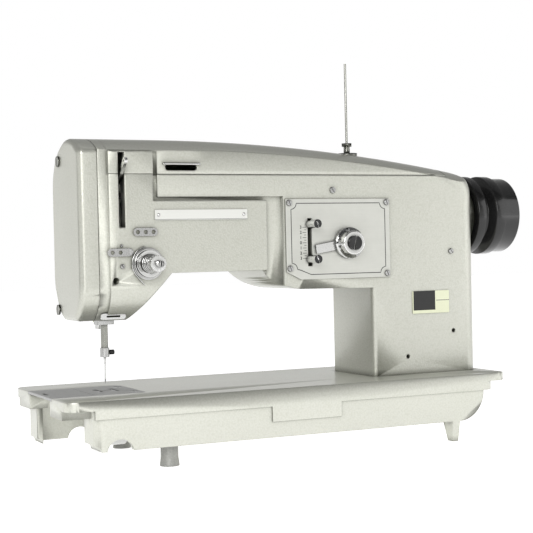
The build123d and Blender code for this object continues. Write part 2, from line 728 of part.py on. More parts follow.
with BuildPart() as cover_screws:
    with BuildSketch(Plane.YZ.offset(along(crown_start))):
        with Locations(*[(y, above(z)) for y, z in face_screws]):
            Circle(cover_screw_head)
    extrude(amount=-1.8)
    with BuildSketch(Plane.YZ.offset(along(crown_start) - 1.8)):
        with Locations(*[(y, above(z)) for y, z in face_screws]):
            Rectangle(1.2, 2 * cover_screw_head)
    extrude(amount=0.9, mode=Mode.SUBTRACT)
    with BuildSketch(Plane.YZ.offset(along(crown_start))):
        with Locations(*[(y, above(z)) for y, z in face_screws]):
            Circle(cover_screw_radius)
    extrude(amount=face_wall)
    for x in cover_screw_x:
        seat = crown_z(x - bed_left) - cover_screw_drop
        with BuildSketch(Plane.XY.offset(seat - 1.5)):
            with Locations((x, cover_screw_y)):
                Circle(cover_screw_head)
        extrude(amount=3.5)
    add(crown.part, mode=Mode.SUBTRACT)
    for x in cover_screw_x:
        seat = crown_z(x - bed_left) - cover_screw_drop
        with BuildSketch(Plane.XY.offset(seat + 2)):
            with Locations((x, cover_screw_y)):
                Rectangle(1.2, 2 * cover_screw_head)
        extrude(amount=-1, mode=Mode.SUBTRACT)
        with BuildSketch(Plane.XY.offset(seat)):
            with Locations((x, cover_screw_y)):
                Circle(cover_screw_radius)
        extrude(amount=-cover_wall)
save("cover_screws", cover_screws)

# ---- slide plate, needle plate ----
plate_gap = 0.3
plate_joint = along(44.0)
plate_screws = ((along(87.5), 24.0), (along(87.5), -24.0))
plate_screw_radius = 2.0
needle_hole_half = 6.2
needle_hole_width = 2.6
feed_row_x = (along(58.7), along(74.9))
feed_row_width = 3.4
feed_row_length = 20.0
feed_travel = 2.0

with BuildPart() as slide_plate:
    with BuildSketch(Plane.XY.offset(bed_top)):
        with Locations(((along(0) + plate_joint) / 2 - plate_gap / 4, 0)):
            Rectangle(plate_joint - along(0) - plate_gap / 2, 2 * (slot_half - plate_gap))
    extrude(amount=-(recess_plate_depth - 0.2))
    # finger notch at the outer end
    with BuildSketch(Plane.XY.offset(bed_top)):
        with Locations((along(6), 0)):
            SlotOverall(16, 3, rotation=90)
    extrude(amount=-0.8, mode=Mode.SUBTRACT)
save("slide_plate", slide_plate)

with BuildPart() as needle_plate:
    with BuildSketch(Plane.XY.offset(bed_top)):
        with Locations(((plate_joint + along(slot_end)) / 2, 0)):
            Rectangle(along(slot_end) - plate_joint - 2 * 0.15, 2 * (slot_half - 0.15))
    extrude(amount=-recess_plate_depth)
    fillet(needle_plate.edges().filter_by(Axis.Z).group_by(Axis.X)[-1], radius=slot_corner)
    with BuildSketch(Plane.XY.offset(bed_top)):
        with Locations((needle_x, 0)):
            SlotOverall(2 * needle_hole_half, needle_hole_width)
        with Locations(*[(x, 0) for x in feed_row_x]):
            Rectangle(feed_row_width + 1.2, feed_row_length + 2 * feed_travel + 1.6)
        with Locations(*plate_screws):
            Circle(plate_screw_radius)
    extrude(amount=-recess_plate_depth, mode=Mode.SUBTRACT)
    for x, y in plate_screws:
        with BuildSketch(Plane.XY.offset(bed_top)):
            with Locations((x, y)):
                Circle(2 * plate_screw_radius)
        extrude(amount=-1.2, mode=Mode.SUBTRACT)
save("needle_plate", needle_plate)

with BuildPart() as needle_plate_screws:
    for x, y in plate_screws:
        with BuildSketch(Plane.XY.offset(bed_top - 1.2)):
            with Locations((x, y)):
                Circle(2 * plate_screw_radius)
        extrude(amount=1.1)
        with BuildSketch(Plane.XY.offset(bed_top)):
            with Locations((x, y)):
                Rectangle(1.0, 4 * plate_screw_radius)
        extrude(amount=-0.8, mode=Mode.SUBTRACT)
        with BuildSketch(Plane.XY.offset(bed_top - 1.2)):
            with Locations((x, y)):
                Circle(plate_screw_radius)
        extrude(amount=-(recess_plate_depth - 1.2))
save("needle_plate_screws", needle_plate_screws)

# ---- feet and arm bolts ----
with BuildPart() as bed_feet:
    for side in (-1, 1):
        with BuildSketch(Plane.XY):
            with Locations((peg_place[0], side * peg_place[1])):
                Circle(peg_foot_radius)
        with BuildSketch(Plane.XY.offset(9)):
            with Locations((peg_place[0], side * peg_place[1])):
                Circle(peg_radius)
        loft()
        with BuildSketch(Plane.XY.offset(9)):
            with Locations((peg_place[0], side * peg_place[1])):
                Circle(peg_radius)
        extrude(amount=above(-plate_thickness) - 9)
save("bed_feet", bed_feet)

with BuildPart() as arm_bolts:
    with BuildSketch(Plane.XY.offset(above(-plate_thickness))):
        with Locations(*[(x, y) for x in arm_bolt_x for y in (-arm_bolt_y, arm_bolt_y)]):
            RegularPolygon(6.5, 6, major_radius=False)
    extrude(amount=-5.3)
    with BuildSketch(Plane.XY.offset(above(-plate_thickness))):
        with Locations(*[(x, y) for x in arm_bolt_x for y in (-arm_bolt_y, arm_bolt_y)]):
            Circle(arm_bolt_radius)
    extrude(amount=plate_thickness + 16)
save("arm_bolts", arm_bolts)

# ---- front plates ----
nameplate_size = (97.6, 10.0, 0.9)
nameplate_place = (along(153.2), above(170.6))
nameplate_rivet_x = 45.0
badge_size = (45.4, 23.7, 0.8)
badge_place = (along(416.1), above(75.5))
regulator_left = along(245.6)
regulator_right = along(366.5)
regulator_top = above(185.5)
regulator_bottom = above(103.8)
regulator_thickness = 1.5
regulator_chamfer = (16.0, 8.0)
regulator_screw_places = ((along(249.6), above(181.6)), (along(363.0), above(181.8)),
                          (along(249.6), above(115.2)), (along(362.6), above(107.7)))
regulator_screw_radius = 3.3
regulator_front = arm_front - regulator_thickness

with BuildPart() as nameplate:
    with BuildSketch(Plane.XZ.offset(-pad_front)):
        with Locations(nameplate_place):
            RectangleRounded(nameplate_size[0], nameplate_size[1], 0.8)
            with Locations((-nameplate_rivet_x, 0), (nameplate_rivet_x, 0)):
                Circle(0.9, mode=Mode.SUBTRACT)
    extrude(amount=nameplate_size[2])
save("nameplate", nameplate)

with BuildPart() as nameplate_rivets:
    with BuildSketch(Plane.XZ.offset(-pad_front)):
        with Locations(nameplate_place):
            with Locations((-nameplate_rivet_x, 0), (nameplate_rivet_x, 0)):
                Circle(0.9)
    extrude(amount=nameplate_size[2])
    with BuildSketch(Plane.XZ.offset(-pad_front + nameplate_size[2])):
        with Locations(nameplate_place):
            with Locations((-nameplate_rivet_x, 0), (nameplate_rivet_x, 0)):
                Circle(1.7)
    extrude(amount=0.7, taper=30)
save("nameplate_rivets", nameplate_rivets)

with BuildPart() as badge:
    with BuildSketch(Plane.XZ.offset(-arm_front)):
        with Locations(badge_place):
            RectangleRounded(badge_size[0], badge_size[1], 0.8)
    extrude(amount=badge_size[2])
save("badge", badge)

with BuildPart() as regulator_plate:
    with BuildSketch(Plane.XZ.offset(-arm_front)):
        with BuildLine():
            Polyline((regulator_left, regulator_top), (regulator_right, regulator_top),
                     (regulator_right, regulator_bottom),
                     (regulator_left + regulator_chamfer[0], regulator_bottom),
                     (regulator_left, regulator_bottom + regulator_chamfer[1]), close=True)
        make_face()
        with Locations((width_slot_x, above((width_slot[0] + width_slot[1]) / 2))):
            Rectangle(width_slot_width, width_slot[1] - width_slot[0], mode=Mode.SUBTRACT)
        with Locations((knob_x, knob_z)):
            Circle(width_shaft_radius + running_fit, mode=Mode.SUBTRACT)
        with Locations(*regulator_screw_places):
            Circle(1.6, mode=Mode.SUBTRACT)
    extrude(amount=regulator_thickness)
save("regulator_plate", regulator_plate)

with BuildPart() as regulator_screws:
    with BuildSketch(Plane.XZ.offset(-arm_front)):
        with Locations(*regulator_screw_places):
            Circle(1.6)
    extrude(amount=regulator_thickness)
    with BuildSketch(Plane.XZ.offset(-regulator_front)):
        with Locations(*regulator_screw_places):
            Circle(regulator_screw_radius)
    extrude(amount=1.6, taper=25)
    with BuildSketch(Plane.XZ.offset(-regulator_front + 1.6)):
        with Locations(*regulator_screw_places):
            Rectangle(0.9, 2 * regulator_screw_radius, rotation=20)
    extrude(amount=-0.8, mode=Mode.SUBTRACT)
save("regulator_screws", regulator_screws)

# slotted screws on the casting: guide pin, guide screw, column screw, oil screw over the plate
arm_screw_places = ((along(70.0), above(141.6), pad_front, 1.6),
                    (along(70.6), above(122.0), pad_front, 2.4),
                    (along(442.7), above(129.0), arm_front, 3.0),
                    (along(300.4), above(194.5), arm_front, 3.4))
with BuildPart() as arm_screws:
    for x, z, face, radius in arm_screw_places:
        with BuildSketch(Plane.XZ.offset(-face)):
            with Locations((x, z)):
                Circle(radius)
        extrude(amount=1.6, taper=15)
        with BuildSketch(Plane.XZ.offset(-face + 1.6)):
            with Locations((x, z)):
                Rectangle(0.8, 2 * radius, rotation=35)
        extrude(amount=-0.8, mode=Mode.SUBTRACT)
save("arm_screws", arm_screws)

# ---- stitch-width control ----
lever_gap = 0.3
lever_thickness = 2.2
lever_hub_radius = 13.0
lever_reach = 38.0            # knob's axis to the lever's tip
lever_angle = 189.0           # the lever points left and a little down
knob_flange_radius = 16.0
knob_flange_thickness = 3.5
knob_drum_radius = 12.5
knob_drum_length = 9.0
knob_screw_radius = 7.3
knob_screw_height = 2.6
stop_radius = 4.4
stop_length = 18.0
stop_stem_radius = 2.0
stop_heights = (159.9, 124.2)
lever_back = regulator_front - lever_gap
lever_front = lever_back - lever_thickness

with BuildPart() as width_lever:
    with BuildSketch(Plane.XZ.offset(-lever_back)):
        with Locations((knob_x, knob_z)):
            Circle(lever_hub_radius)
            with Locations(Location((0, 0, 0), (0, 0, lever_angle))):
                with Locations((lever_reach / 2, 0)):
                    Rectangle(lever_reach, 9)
    extrude(amount=lever_thickness)
    with BuildSketch(Plane.XZ.offset(-lever_back)):
        with Locations((knob_x, knob_z)):
            Circle(width_shaft_radius)
    extrude(amount=-(cavity_half - 24 + 18))
save("width_lever", width_lever)

with BuildPart() as width_knob:
    with BuildSketch(Plane.XZ.offset(-lever_front + 0.1)):
        with Locations((knob_x, knob_z)):
            Circle(knob_flange_radius)
    extrude(amount=knob_flange_thickness)
    with BuildSketch(Plane.XZ.offset(-lever_front + 0.1 + knob_flange_thickness)):
        with Locations((knob_x, knob_z)):
            Circle(knob_drum_radius)
    extrude(amount=knob_drum_length)
    fillet(width_knob.edges().filter_by(GeomType.CIRCLE).sort_by(Axis.Y)[0], radius=1.5)
save("width_knob", width_knob)

knob_front = lever_front - 0.1 - knob_flange_thickness - knob_drum_length
with BuildPart() as width_knob_screw:
    with BuildSketch(Plane.XZ.offset(-knob_front)):
        with Locations((knob_x, knob_z)):
            Circle(knob_screw_radius)
    extrude(amount=knob_screw_height)
    with BuildSketch(Plane.XZ.offset(-knob_front + knob_screw_height)):
        with Locations((knob_x, knob_z)):
            Rectangle(1.8, 2 * knob_screw_radius, rotation=-12)
    extrude(amount=-1.4, mode=Mode.SUBTRACT)
save("width_knob_screw", width_knob_screw)

for name, height in zip(("upper_width_stop", "lower_width_stop"), stop_heights):
    with BuildPart() as width_stop:
        with BuildSketch(Plane.XZ.offset(-lever_back)):
            with Locations((width_slot_x, above(height))):
                Circle(stop_radius)
        extrude(amount=stop_length)
        with BuildSketch(Plane.XZ.offset(-lever_back + stop_length)):
            with Locations((width_slot_x, above(height))):
                Rectangle(1.4, 2 * stop_radius, rotation=20)
        extrude(amount=-1.2, mode=Mode.SUBTRACT)
        with BuildSketch(Plane.XZ.offset(-lever_back)):
            with Locations((width_slot_x, above(height))):
                Circle(stop_stem_radius)
        extrude(amount=-(regulator_thickness + lever_gap + 6))
    save(name, width_stop)

# ---- thread tension ----
tension_stud_end = pad_front - 36.0
disc_radius = 14.5
disc_thickness = 1.2
disc_place = pad_front - 2.0
spring_wire = 0.7
tension_spring_start = disc_place - 3 * disc_thickness
tension_spring_length = 13.0
nut_start = tension_spring_start - tension_spring_length - 1.0
nut_length = 9.0
nut_radius = 8.0

with BuildPart() as tension_stud:
    with BuildSketch(Plane.XZ.offset(-pad_front)):
        with Locations((tension_x, tension_z)):
            Circle(15.5)
    extrude(amount=1.4)
    with BuildSketch(Plane.XZ.offset(-pad_front)):
        with Locations((tension_x, tension_z)):
            Circle(tension_stud_radius)
    extrude(amount=pad_front - tension_stud_end)
    with BuildSketch(Plane.XZ.offset(-pad_front)):
        with Locations((tension_x, tension_z)):
            Circle(tension_stud_radius)
    extrude(amount=-20)
    # split end of the stud
    with BuildSketch(Plane.XZ.offset(-tension_stud_end)):
        with Locations((tension_x, tension_z)):
            Rectangle(1.2, 4 * tension_stud_radius)
    extrude(amount=-5, mode=Mode.SUBTRACT)
save("tension_stud", tension_stud)

with BuildPart() as tension_discs:
    for index in (0, 1):
        with BuildSketch(Plane.XZ.offset(-disc_place + 2 * index * disc_thickness)):
            with Locations((tension_x, tension_z)):
                Circle(disc_radius - 1.5 * index)
                Circle(tension_stud_radius + 0.1, mode=Mode.SUBTRACT)
        extrude(amount=disc_thickness)
save("tension_discs", tension_discs)

with BuildPart() as tension_spring:
    with BuildLine() as coil:
        Helix(pitch=3.0, height=tension_spring_length - 2 * spring_wire, radius=9.0, cone_angle=-10,
              center=(tension_x, tension_spring_start - spring_wire, tension_z), direction=(0, -1, 0))
    with BuildSketch(Plane(coil.line @ 0, z_dir=coil.line % 0)):
        Circle(spring_wire)
    sweep(path=coil.line)
save("tension_spring", tension_spring)

with BuildPart() as tension_nut:
    with BuildSketch(Plane.XZ.offset(-nut_start)):
        with Locations((tension_x, tension_z)):
            Circle(nut_radius)
            Circle(tension_stud_radius + running_fit, mode=Mode.SUBTRACT)
    extrude(amount=nut_length)
    with BuildSketch(Plane.XZ.offset(-nut_start)):
        with Locations((tension_x, tension_z)):
            with PolarLocations(nut_radius, 24):
                Circle(0.5)
    extrude(amount=nut_length, mode=Mode.SUBTRACT)
save("tension_nut", tension_nut)

with BuildPart() as check_spring:
    ring_plane = Plane(origin=(tension_x, pad_front - 1.4 - spring_wire / 2, tension_z),
                       x_dir=(1, 0, 0), z_dir=(0, -1, 0))
    with BuildLine(ring_plane) as wire:
        ring = CenterArc((0, 0), 16.6, 100, 120)
        Line(ring @ 1, (ring @ 1) + (ring % 1) * 12)
    with BuildSketch(Plane(wire.line @ 0, z_dir=wire.line % 0)):
        Circle(0.5)
    sweep(path=wire.line)
save("check_spring", check_spring)

# ---- thread guides ----
guide_thickness = 2.0
head_guide_x = along(64.5)
head_guide_front = -36.0
guide_wire_radius = 1.1


def long_guide(x, z, length, height, holes):
    """flat chrome guide on the head: an oval plate with round thread holes"""
    with BuildPart() as guide:
        with BuildSketch(Plane.XZ.offset(-pad_front)):
            with Locations((x, z)):
                SlotOverall(length, height)
                with Locations(*[(offset, 0) for offset in holes]):
                    Circle(height * 0.26, mode=Mode.SUBTRACT)
        extrude(amount=guide_thickness)
    return guide


save("upper_thread_guide", long_guide(along(94.2), above(154.5), 24.4, 8.0, (-8, 0, 8)))
save("side_thread_guide", long_guide(along(68.5), above(135.3), 26.0, 7.6, (-8, 0)))

with BuildPart() as head_thread_guide:
    # chrome strip with a long eye across the head's foot, shaped to the casting behind it
    with BuildSketch(Plane.XZ.offset(-head_guide_front)):
        with Locations((head_guide_x, above(head_bottom + 4.3))):
            SlotOverall(25.0, 6.0)
            SlotOverall(14.0, 1.8, mode=Mode.SUBTRACT)
    extrude(amount=-7.0)
    add(arm.part, mode=Mode.SUBTRACT)
save("head_thread_guide", head_thread_guide)

with BuildPart() as arm_thread_guide:
    # wire staple across the cover's long slot
    guide_wire_z = above(oval_slot_height + oval_slot_rise)
    guide_wire_y = arm_front - 2.0
    guide_wire_half = oval_slot_length / 2 + 1.6
    with BuildSketch(Plane.YZ.offset(oval_slot_x - guide_wire_half)):
        with Locations((guide_wire_y, guide_wire_z)):
            Circle(guide_wire_radius)
    extrude(amount=2 * guide_wire_half)
    with BuildSketch(Plane.XZ.offset(-arm_front)):
        for side in (-1, 1):
            with Locations((oval_slot_x + side * guide_wire_half, guide_wire_z)):
                Circle(guide_wire_radius)
    extrude(amount=arm_front - guide_wire_y + guide_wire_radius)
save("arm_thread_guide", arm_thread_guide)

# ---- take-up lever ----
take_up_tip = (-60.0, 222.0)  # eye of the lever at rest: y, height above the bed
take_up_thickness = 3.0
take_up_hub = 7.0
take_up_eye = 3.2
lever_plane_x = slot_x - take_up_thickness / 2
lever_angle_up = degrees(atan2(take_up_tip[1] - take_up_pin_height, take_up_tip[0] - take_up_pin_y))
take_up_length = sqrt((take_up_tip[0] - take_up_pin_y)**2 + (take_up_tip[1] - take_up_pin_height)**2)

with BuildPart() as take_up_lever:
    with BuildSketch(Plane.YZ.offset(lever_plane_x)):
        with Locations((take_up_pin_y, above(take_up_pin_height))):
            Circle(take_up_hub)
            with Locations(Location((0, 0, 0), (0, 0, lever_angle_up))):
                with Locations((take_up_length / 2, 0)):
                    Rectangle(take_up_length, 5.0)
                with Locations((take_up_length, 0)):
                    Circle(take_up_eye)
                    Circle(1.1, mode=Mode.SUBTRACT)
            Circle(take_up_pin_radius + running_fit, mode=Mode.SUBTRACT)
    extrude(amount=take_up_thickness)
save("take_up_lever", take_up_lever)

# ---- needle bar group ----
swing_hub_radius = 9.0
upper_boss = (150.0, 160.0)
lower_boss = (65.0, 90.0)
bar_bottom = 33.0
bar_top = 176.0
connector_height = shaft_height + crank_throw - rod_length
connector_half = 5.0
connector_stud_end = needle_x + 20.0
clamp_height = (33.0, 42.0)
clamp_wall = 1.1
lug_reach = -29.0
lug_width = 9.0

with BuildPart() as needle_bar_frame:
    # spine from the pivot down to the lower bush
    with BuildSketch(Plane.XZ.offset(-spine_front)):
        with Locations((needle_x, above((lower_boss[0] + swing_pivot_height) / 2))):
            Rectangle(12.0, swing_pivot_height - lower_boss[0])
    extrude(amount=-(spine_back - spine_front))
    for low, high in (lower_boss, upper_boss):
        with BuildSketch(Plane.XY.offset(above(low))):
            with Locations((needle_x, (frame_front + spine_back) / 2)):
                RectangleRounded(frame_width, spine_back - frame_front, 3.0)
        extrude(amount=high - low)
    # lug that the zigzag rod pushes
    with BuildSketch(Plane.XY.offset(above(upper_boss[0]))):
        with Locations((needle_x, (lug_reach + frame_front + 2) / 2)):
            Rectangle(lug_width, frame_front + 2 - lug_reach)
    extrude(amount=upper_boss[1] - upper_boss[0])
    with BuildSketch(Plane.XZ.offset(-spine_front)):
        with Locations((needle_x, above(swing_pivot_height))):
            Circle(swing_hub_radius)
    extrude(amount=8.0)
    with BuildSketch(Plane.XZ.offset(-spine_back)):
        with Locations((needle_x, above(swing_pivot_height))):
            Circle(swing_hub_radius)
    extrude(amount=spine_back - spine_front)
    with BuildSketch(Plane.XZ.offset(-spine_back)):
        with Locations((needle_x, above(swing_pivot_height))):
            Circle(swing_pin_radius + running_fit)
    extrude(amount=30, mode=Mode.SUBTRACT)
    with BuildSketch(Plane.XY.offset(above(lower_boss[0]))):
        with Locations((needle_x, 0)):
            Circle(bar_radius + running_fit)
    extrude(amount=upper_boss[1] - lower_boss[0], mode=Mode.SUBTRACT)
save("needle_bar_frame", needle_bar_frame)

with BuildPart() as pivot_pins:
    with BuildSketch(Plane.XZ.offset(-arm_back)):
        with Locations((needle_x, above(swing_pivot_height))):
            Circle(swing_pin_radius)
    extrude(amount=arm_back + 7.0)
    with BuildSketch(Plane.YZ.offset(bulkhead[1])):
        with Locations((take_up_pin_y, above(take_up_pin_height))):
            Circle(take_up_pin_radius)
    extrude(amount=-(bulkhead[1] - lever_plane_x + 1.5))
save("pivot_pins", pivot_pins)

with BuildPart() as needle_bar:
    with BuildSketch(Plane.XY.offset(above(bar_bottom))):
        with Locations((needle_x, 0)):
            Circle(bar_radius)
    extrude(amount=bar_top - bar_bottom)
save("needle_bar", needle_bar)

with BuildPart() as needle_bar_connector:
    with BuildSketch(Plane.XY.offset(above(connector_height - connector_half))):
        with Locations((needle_x, (frame_front + spine_front - 0.4) / 2)):
            Rectangle(15.0, spine_front - 0.4 - frame_front)
        with Locations((needle_x, 0)):
            Circle(bar_radius, mode=Mode.SUBTRACT)
    extrude(amount=2 * connector_half)
    with BuildSketch(Plane.YZ.offset(needle_x + 7.5)):
        with Locations((0, above(connector_height))):
            Circle(3.5)
    extrude(amount=connector_stud_end - needle_x - 7.5)
save("needle_bar_connector", needle_bar_connector)

with BuildPart() as needle_clamp:
    with BuildSketch(Plane.XY.offset(above(clamp_height[0]))):
        with Locations((needle_x, 0)):
            Circle(bar_radius + clamp_wall)
            Circle(bar_radius, mode=Mode.SUBTRACT)
    extrude(amount=clamp_height[1] - clamp_height[0])
save("needle_clamp", needle_clamp)

with BuildPart() as needle_clamp_screw:
    with BuildSketch(Plane.YZ.offset(needle_x + bar_radius + clamp_wall - 0.2)):
        with Locations((0, above((clamp_height[0] + clamp_height[1]) / 2))):
            Circle(2.4)
    extrude(amount=5.0)
    add(needle_clamp.part, mode=Mode.SUBTRACT)
save("needle_clamp_screw", needle_clamp_screw)

with BuildPart() as needle:
    with BuildSketch(Plane.XY.offset(above(bar_bottom))):
        with Locations((needle_x, 0)):
            Circle(1.3)
    extrude(amount=-6.0)
    with BuildSketch(Plane.XY.offset(above(bar_bottom - 6.0))):
        with Locations((needle_x, 0)):
            Circle(needle_radius)
    extrude(amount=-(bar_bottom - 6.0 - needle_tip_height - 4.0))
    with BuildSketch(Plane.XY.offset(above(needle_tip_height + 4.0))):
        with Locations((needle_x, 0)):
            Circle(needle_radius)
    with BuildSketch(Plane.XY.offset(above(needle_tip_height))):
        with Locations((needle_x, 0)):
            Circle(0.15)
    loft()
save("needle", needle)

# ---- presser group ----
presser_bottom = 60.0
presser_top = 189.4
cam_span = (22.0, 32.0)
lifter_hub_radius = 8.0
lifter_arm_length = 46.0
lifter_arm_angle = 270.0
presser_spring_wire = 0.9
presser_spring_radius = presser_radius + presser_spring_wire + 0.7

with BuildPart() as presser_bar:
    with BuildSketch(Plane.XY.offset(above(presser_bottom))):
        with Locations((needle_x, presser_offset)):
            Circle(presser_radius)
    extrude(amount=presser_top - presser_bottom)
    # flat and screw hole where a foot is fastened
    with BuildSketch(Plane.XZ.offset(-presser_offset)):
        with Locations((needle_x, above(presser_bottom + 6))):
            Circle(1.5)
    extrude(amount=10, both=True, mode=Mode.SUBTRACT)
save("presser_bar", presser_bar)

with BuildPart() as presser_collar:
    with BuildSketch(Plane.XY.offset(above(collar_height[0]))):
        with Locations((needle_x, presser_offset)):
            Circle(7.0)
        with Locations(((needle_x + lifter_x + 5) / 2, (presser_offset + cam_span[1]) / 2)):
            Rectangle(lifter_x + 5 - needle_x, cam_span[1] - presser_offset)
        with Locations((needle_x, presser_offset)):
            Circle(presser_radius, mode=Mode.SUBTRACT)
    extrude(amount=collar_height[1] - collar_height[0])
save("presser_collar", presser_collar)

with BuildPart() as presser_bush:
    with BuildSketch(Plane.XY.offset(above(head_bottom - 3))):
        with Locations((needle_x, presser_offset)):
            Circle(presser_bush_radius)
            Circle(presser_radius + running_fit, mode=Mode.SUBTRACT)
    extrude(amount=arm_wall + 3)
save("presser_bush", presser_bush)

with BuildPart() as presser_spring:
    with BuildLine() as coil:
        Helix(pitch=4.4, height=shelf[0] - collar_height[1] - 2.4, radius=presser_spring_radius,
              center=(needle_x, presser_offset, above(collar_height[1]) + 1.2))
    with BuildSketch(Plane(coil.line @ 0, z_dir=coil.line % 0)):
        Circle(presser_spring_wire)
    sweep(path=coil.line)
save("presser_spring", presser_spring)

with BuildPart() as presser_lifter:
    # eccentric inside the head, shaft through the back wall, finger lever outside
    with BuildSketch(Plane.XZ.offset(-cam_span[0])):
        with Locations((lifter_x + cam_drop, lifter_z - cam_drop)):
            Circle(cam_radius)
    extrude(amount=-(cam_span[1] - cam_span[0]))
    with BuildSketch(Plane.XZ.offset(-cam_span[0])):
        with Locations((lifter_x, lifter_z)):
            Circle(lifter_shaft_radius)
    extrude(amount=-(arm_back + 3 - cam_span[0]))
    with BuildSketch(Plane.XZ.offset(-arm_back - 1)):
        with Locations((lifter_x, lifter_z)):
            Circle(lifter_hub_radius)
            with Locations(Location((0, 0, 0), (0, 0, lifter_arm_angle))):
                with Locations((lifter_arm_length / 2, 0)):
                    SlotOverall(lifter_arm_length + 8, 8.0)
    extrude(amount=-5)
save("presser_lifter", presser_lifter)

# ---- main shaft group ----
crank_disc_radius = 24.0
crank_disc_span = (98.0, 112.0)
crank_pin_radius = 4.0
crank_pin_start = 88.0
rod_span = (89.0, 96.0)
rod_big_end = 7.0
rod_small_end = 4.5
rod_shank = 6.0
shaft_end = 536.0
upper_pulley_radius = 22.0
lower_pulley_radius = upper_pulley_radius / 2
belt_thickness = 2.0
belt_gap = 0.05
crank_pin_z = shaft_z + crank_throw

with BuildPart() as main_shaft:
    with BuildSketch(Plane.YZ.offset(along(crank_disc_span[0]))):
        with Locations((0, shaft_z)):
            Circle(shaft_radius)
    extrude(amount=shaft_end - crank_disc_span[0])
save("main_shaft", main_shaft)

with BuildPart() as main_bushes:
    for start, end in (bulkhead, (along(column_right - column_wall), along(column_right + boss_length))):
        with BuildSketch(Plane.YZ.offset(start)):
            with Locations((0, shaft_z)):
                Circle(bush_outer)
                Circle(shaft_radius + running_fit, mode=Mode.SUBTRACT)
        extrude(amount=end - start)
save("main_bushes", main_bushes)

with BuildPart() as crank_disc:
    with BuildSketch(Plane.YZ.offset(along(crank_disc_span[0]))):
        with Locations((0, shaft_z)):
            Circle(crank_disc_radius)
            Circle(shaft_radius, mode=Mode.SUBTRACT)
    extrude(amount=crank_disc_span[1] - crank_disc_span[0])
    with BuildSketch(Plane.YZ.offset(along(crank_pin_start))):
        with Locations((0, crank_pin_z)):
            Circle(crank_pin_radius)
    extrude(amount=crank_disc_span[0] - crank_pin_start)
save("crank_disc", crank_disc)

with BuildPart() as connecting_rod:
    with BuildSketch(Plane.YZ.offset(along(rod_span[0]))):
        with Locations((0, crank_pin_z)):
            Circle(rod_big_end)
        with Locations((0, crank_pin_z - rod_length)):
            Circle(rod_small_end)
        with Locations((0, crank_pin_z - rod_length / 2)):
            Rectangle(rod_shank, rod_length)
        with Locations((0, crank_pin_z)):
            Circle(crank_pin_radius + running_fit, mode=Mode.SUBTRACT)
    extrude(amount=rod_span[1] - rod_span[0])
save("connecting_rod", connecting_rod)

# ---- handwheel ----
rim_width = 9.5
groove_bottom_radius = 33.0
groove_bottom = (496.0, 501.0)   # the belt groove's floor, from the bed's left end
second_rim = (506.0, 517.5)
drum_radius = 41.0
drum_edge = 535.0
face_edge_radius = 36.5
face_inner_radius = 32.0
dish_depth = 4.0
wheel_hub_radius = 15.0
inner_dish = (18.0, 34.0, 16.0)  # inner radius, outer radius and depth of the dish facing the column

with BuildPart() as handwheel:
    with BuildSketch(Plane.XZ):
        with BuildLine():
            rim_start = along(wheel_start)
            rim_end = along(wheel_start + rim_width)
            Polyline((rim_start, shaft_z + shaft_radius),
                     (rim_start, shaft_z + inner_dish[0]),
                     (rim_start + inner_dish[2], shaft_z + inner_dish[0] + 2),
                     (rim_start + inner_dish[2], shaft_z + inner_dish[1] - 5),
                     (rim_start, shaft_z + inner_dish[1]),
                     (rim_start, shaft_z + wheel_radius - 1.5),
                     (rim_start + 1.5, shaft_z + wheel_radius),
                     (rim_end - 1, shaft_z + wheel_radius),
                     (rim_end, shaft_z + wheel_radius - 1),
                     (along(groove_bottom[0]), shaft_z + groove_bottom_radius),
                     (along(groove_bottom[1]), shaft_z + groove_bottom_radius),
                     (along(second_rim[0]), shaft_z + wheel_radius - 1),
                     (along(second_rim[0]) + 1, shaft_z + wheel_radius),
                     (along(second_rim[1]) - 1, shaft_z + wheel_radius),
                     (along(second_rim[1]), shaft_z + wheel_radius - 1),
                     (along(second_rim[1]), shaft_z + drum_radius),
                     (along(drum_edge), shaft_z + drum_radius))
            edge_middle = (drum_radius + face_edge_radius) / 2 + 1.0
            rounded = ThreePointArc((along(drum_edge), shaft_z + drum_radius),
                                    (wheel_outer_x - 1.1, shaft_z + edge_middle),
                                    (wheel_outer_x, shaft_z + face_edge_radius))
            Polyline(rounded @ 1, (wheel_outer_x, shaft_z + face_inner_radius + 1.5),
                     (wheel_outer_x - 1, shaft_z + face_inner_radius),
                     (wheel_outer_x - dish_depth, shaft_z + face_inner_radius - 6),
                     (wheel_outer_x - dish_depth, shaft_z + wheel_hub_radius),
                     (wheel_outer_x - 1, shaft_z + wheel_hub_radius - 2),
                     (wheel_outer_x - 1, shaft_z + shaft_radius),
                     (rim_start, shaft_z + shaft_radius))
        make_face()
    revolve(axis=Axis((0, 0, shaft_z), (1, 0, 0)))
save("handwheel", handwheel)

# ---- timing belt and pulleys ----
belt_left = belt_x - belt_width / 2

with BuildPart() as upper_pulley:
    with BuildSketch(Plane.YZ.offset(belt_left)):
        with Locations((0, shaft_z)):
            Circle(upper_pulley_radius)
            Circle(shaft_radius, mode=Mode.SUBTRACT)
    extrude(amount=belt_width)
save("upper_pulley", upper_pulley)

with BuildPart() as lower_pulley:
    with BuildSketch(Plane.YZ.offset(belt_left)):
        with Locations((0, hook_z)):
            Circle(lower_pulley_radius)
            Circle(hook_shaft_radius, mode=Mode.SUBTRACT)
    extrude(amount=belt_width)
save("lower_pulley", lower_pulley)

with BuildPart() as timing_belt:
    with BuildSketch(Plane.YZ.offset(belt_left + 1)):
        for grow, mode in ((belt_thickness, Mode.ADD), (0, Mode.SUBTRACT)):
            with BuildSketch(mode=mode):
                with Locations((0, shaft_z)):
                    Circle(upper_pulley_radius + belt_gap + grow)
                with Locations((0, hook_z)):
                    Circle(lower_pulley_radius + belt_gap + grow)
                make_hull()
    extrude(amount=belt_width - 2)
save("timing_belt", timing_belt)

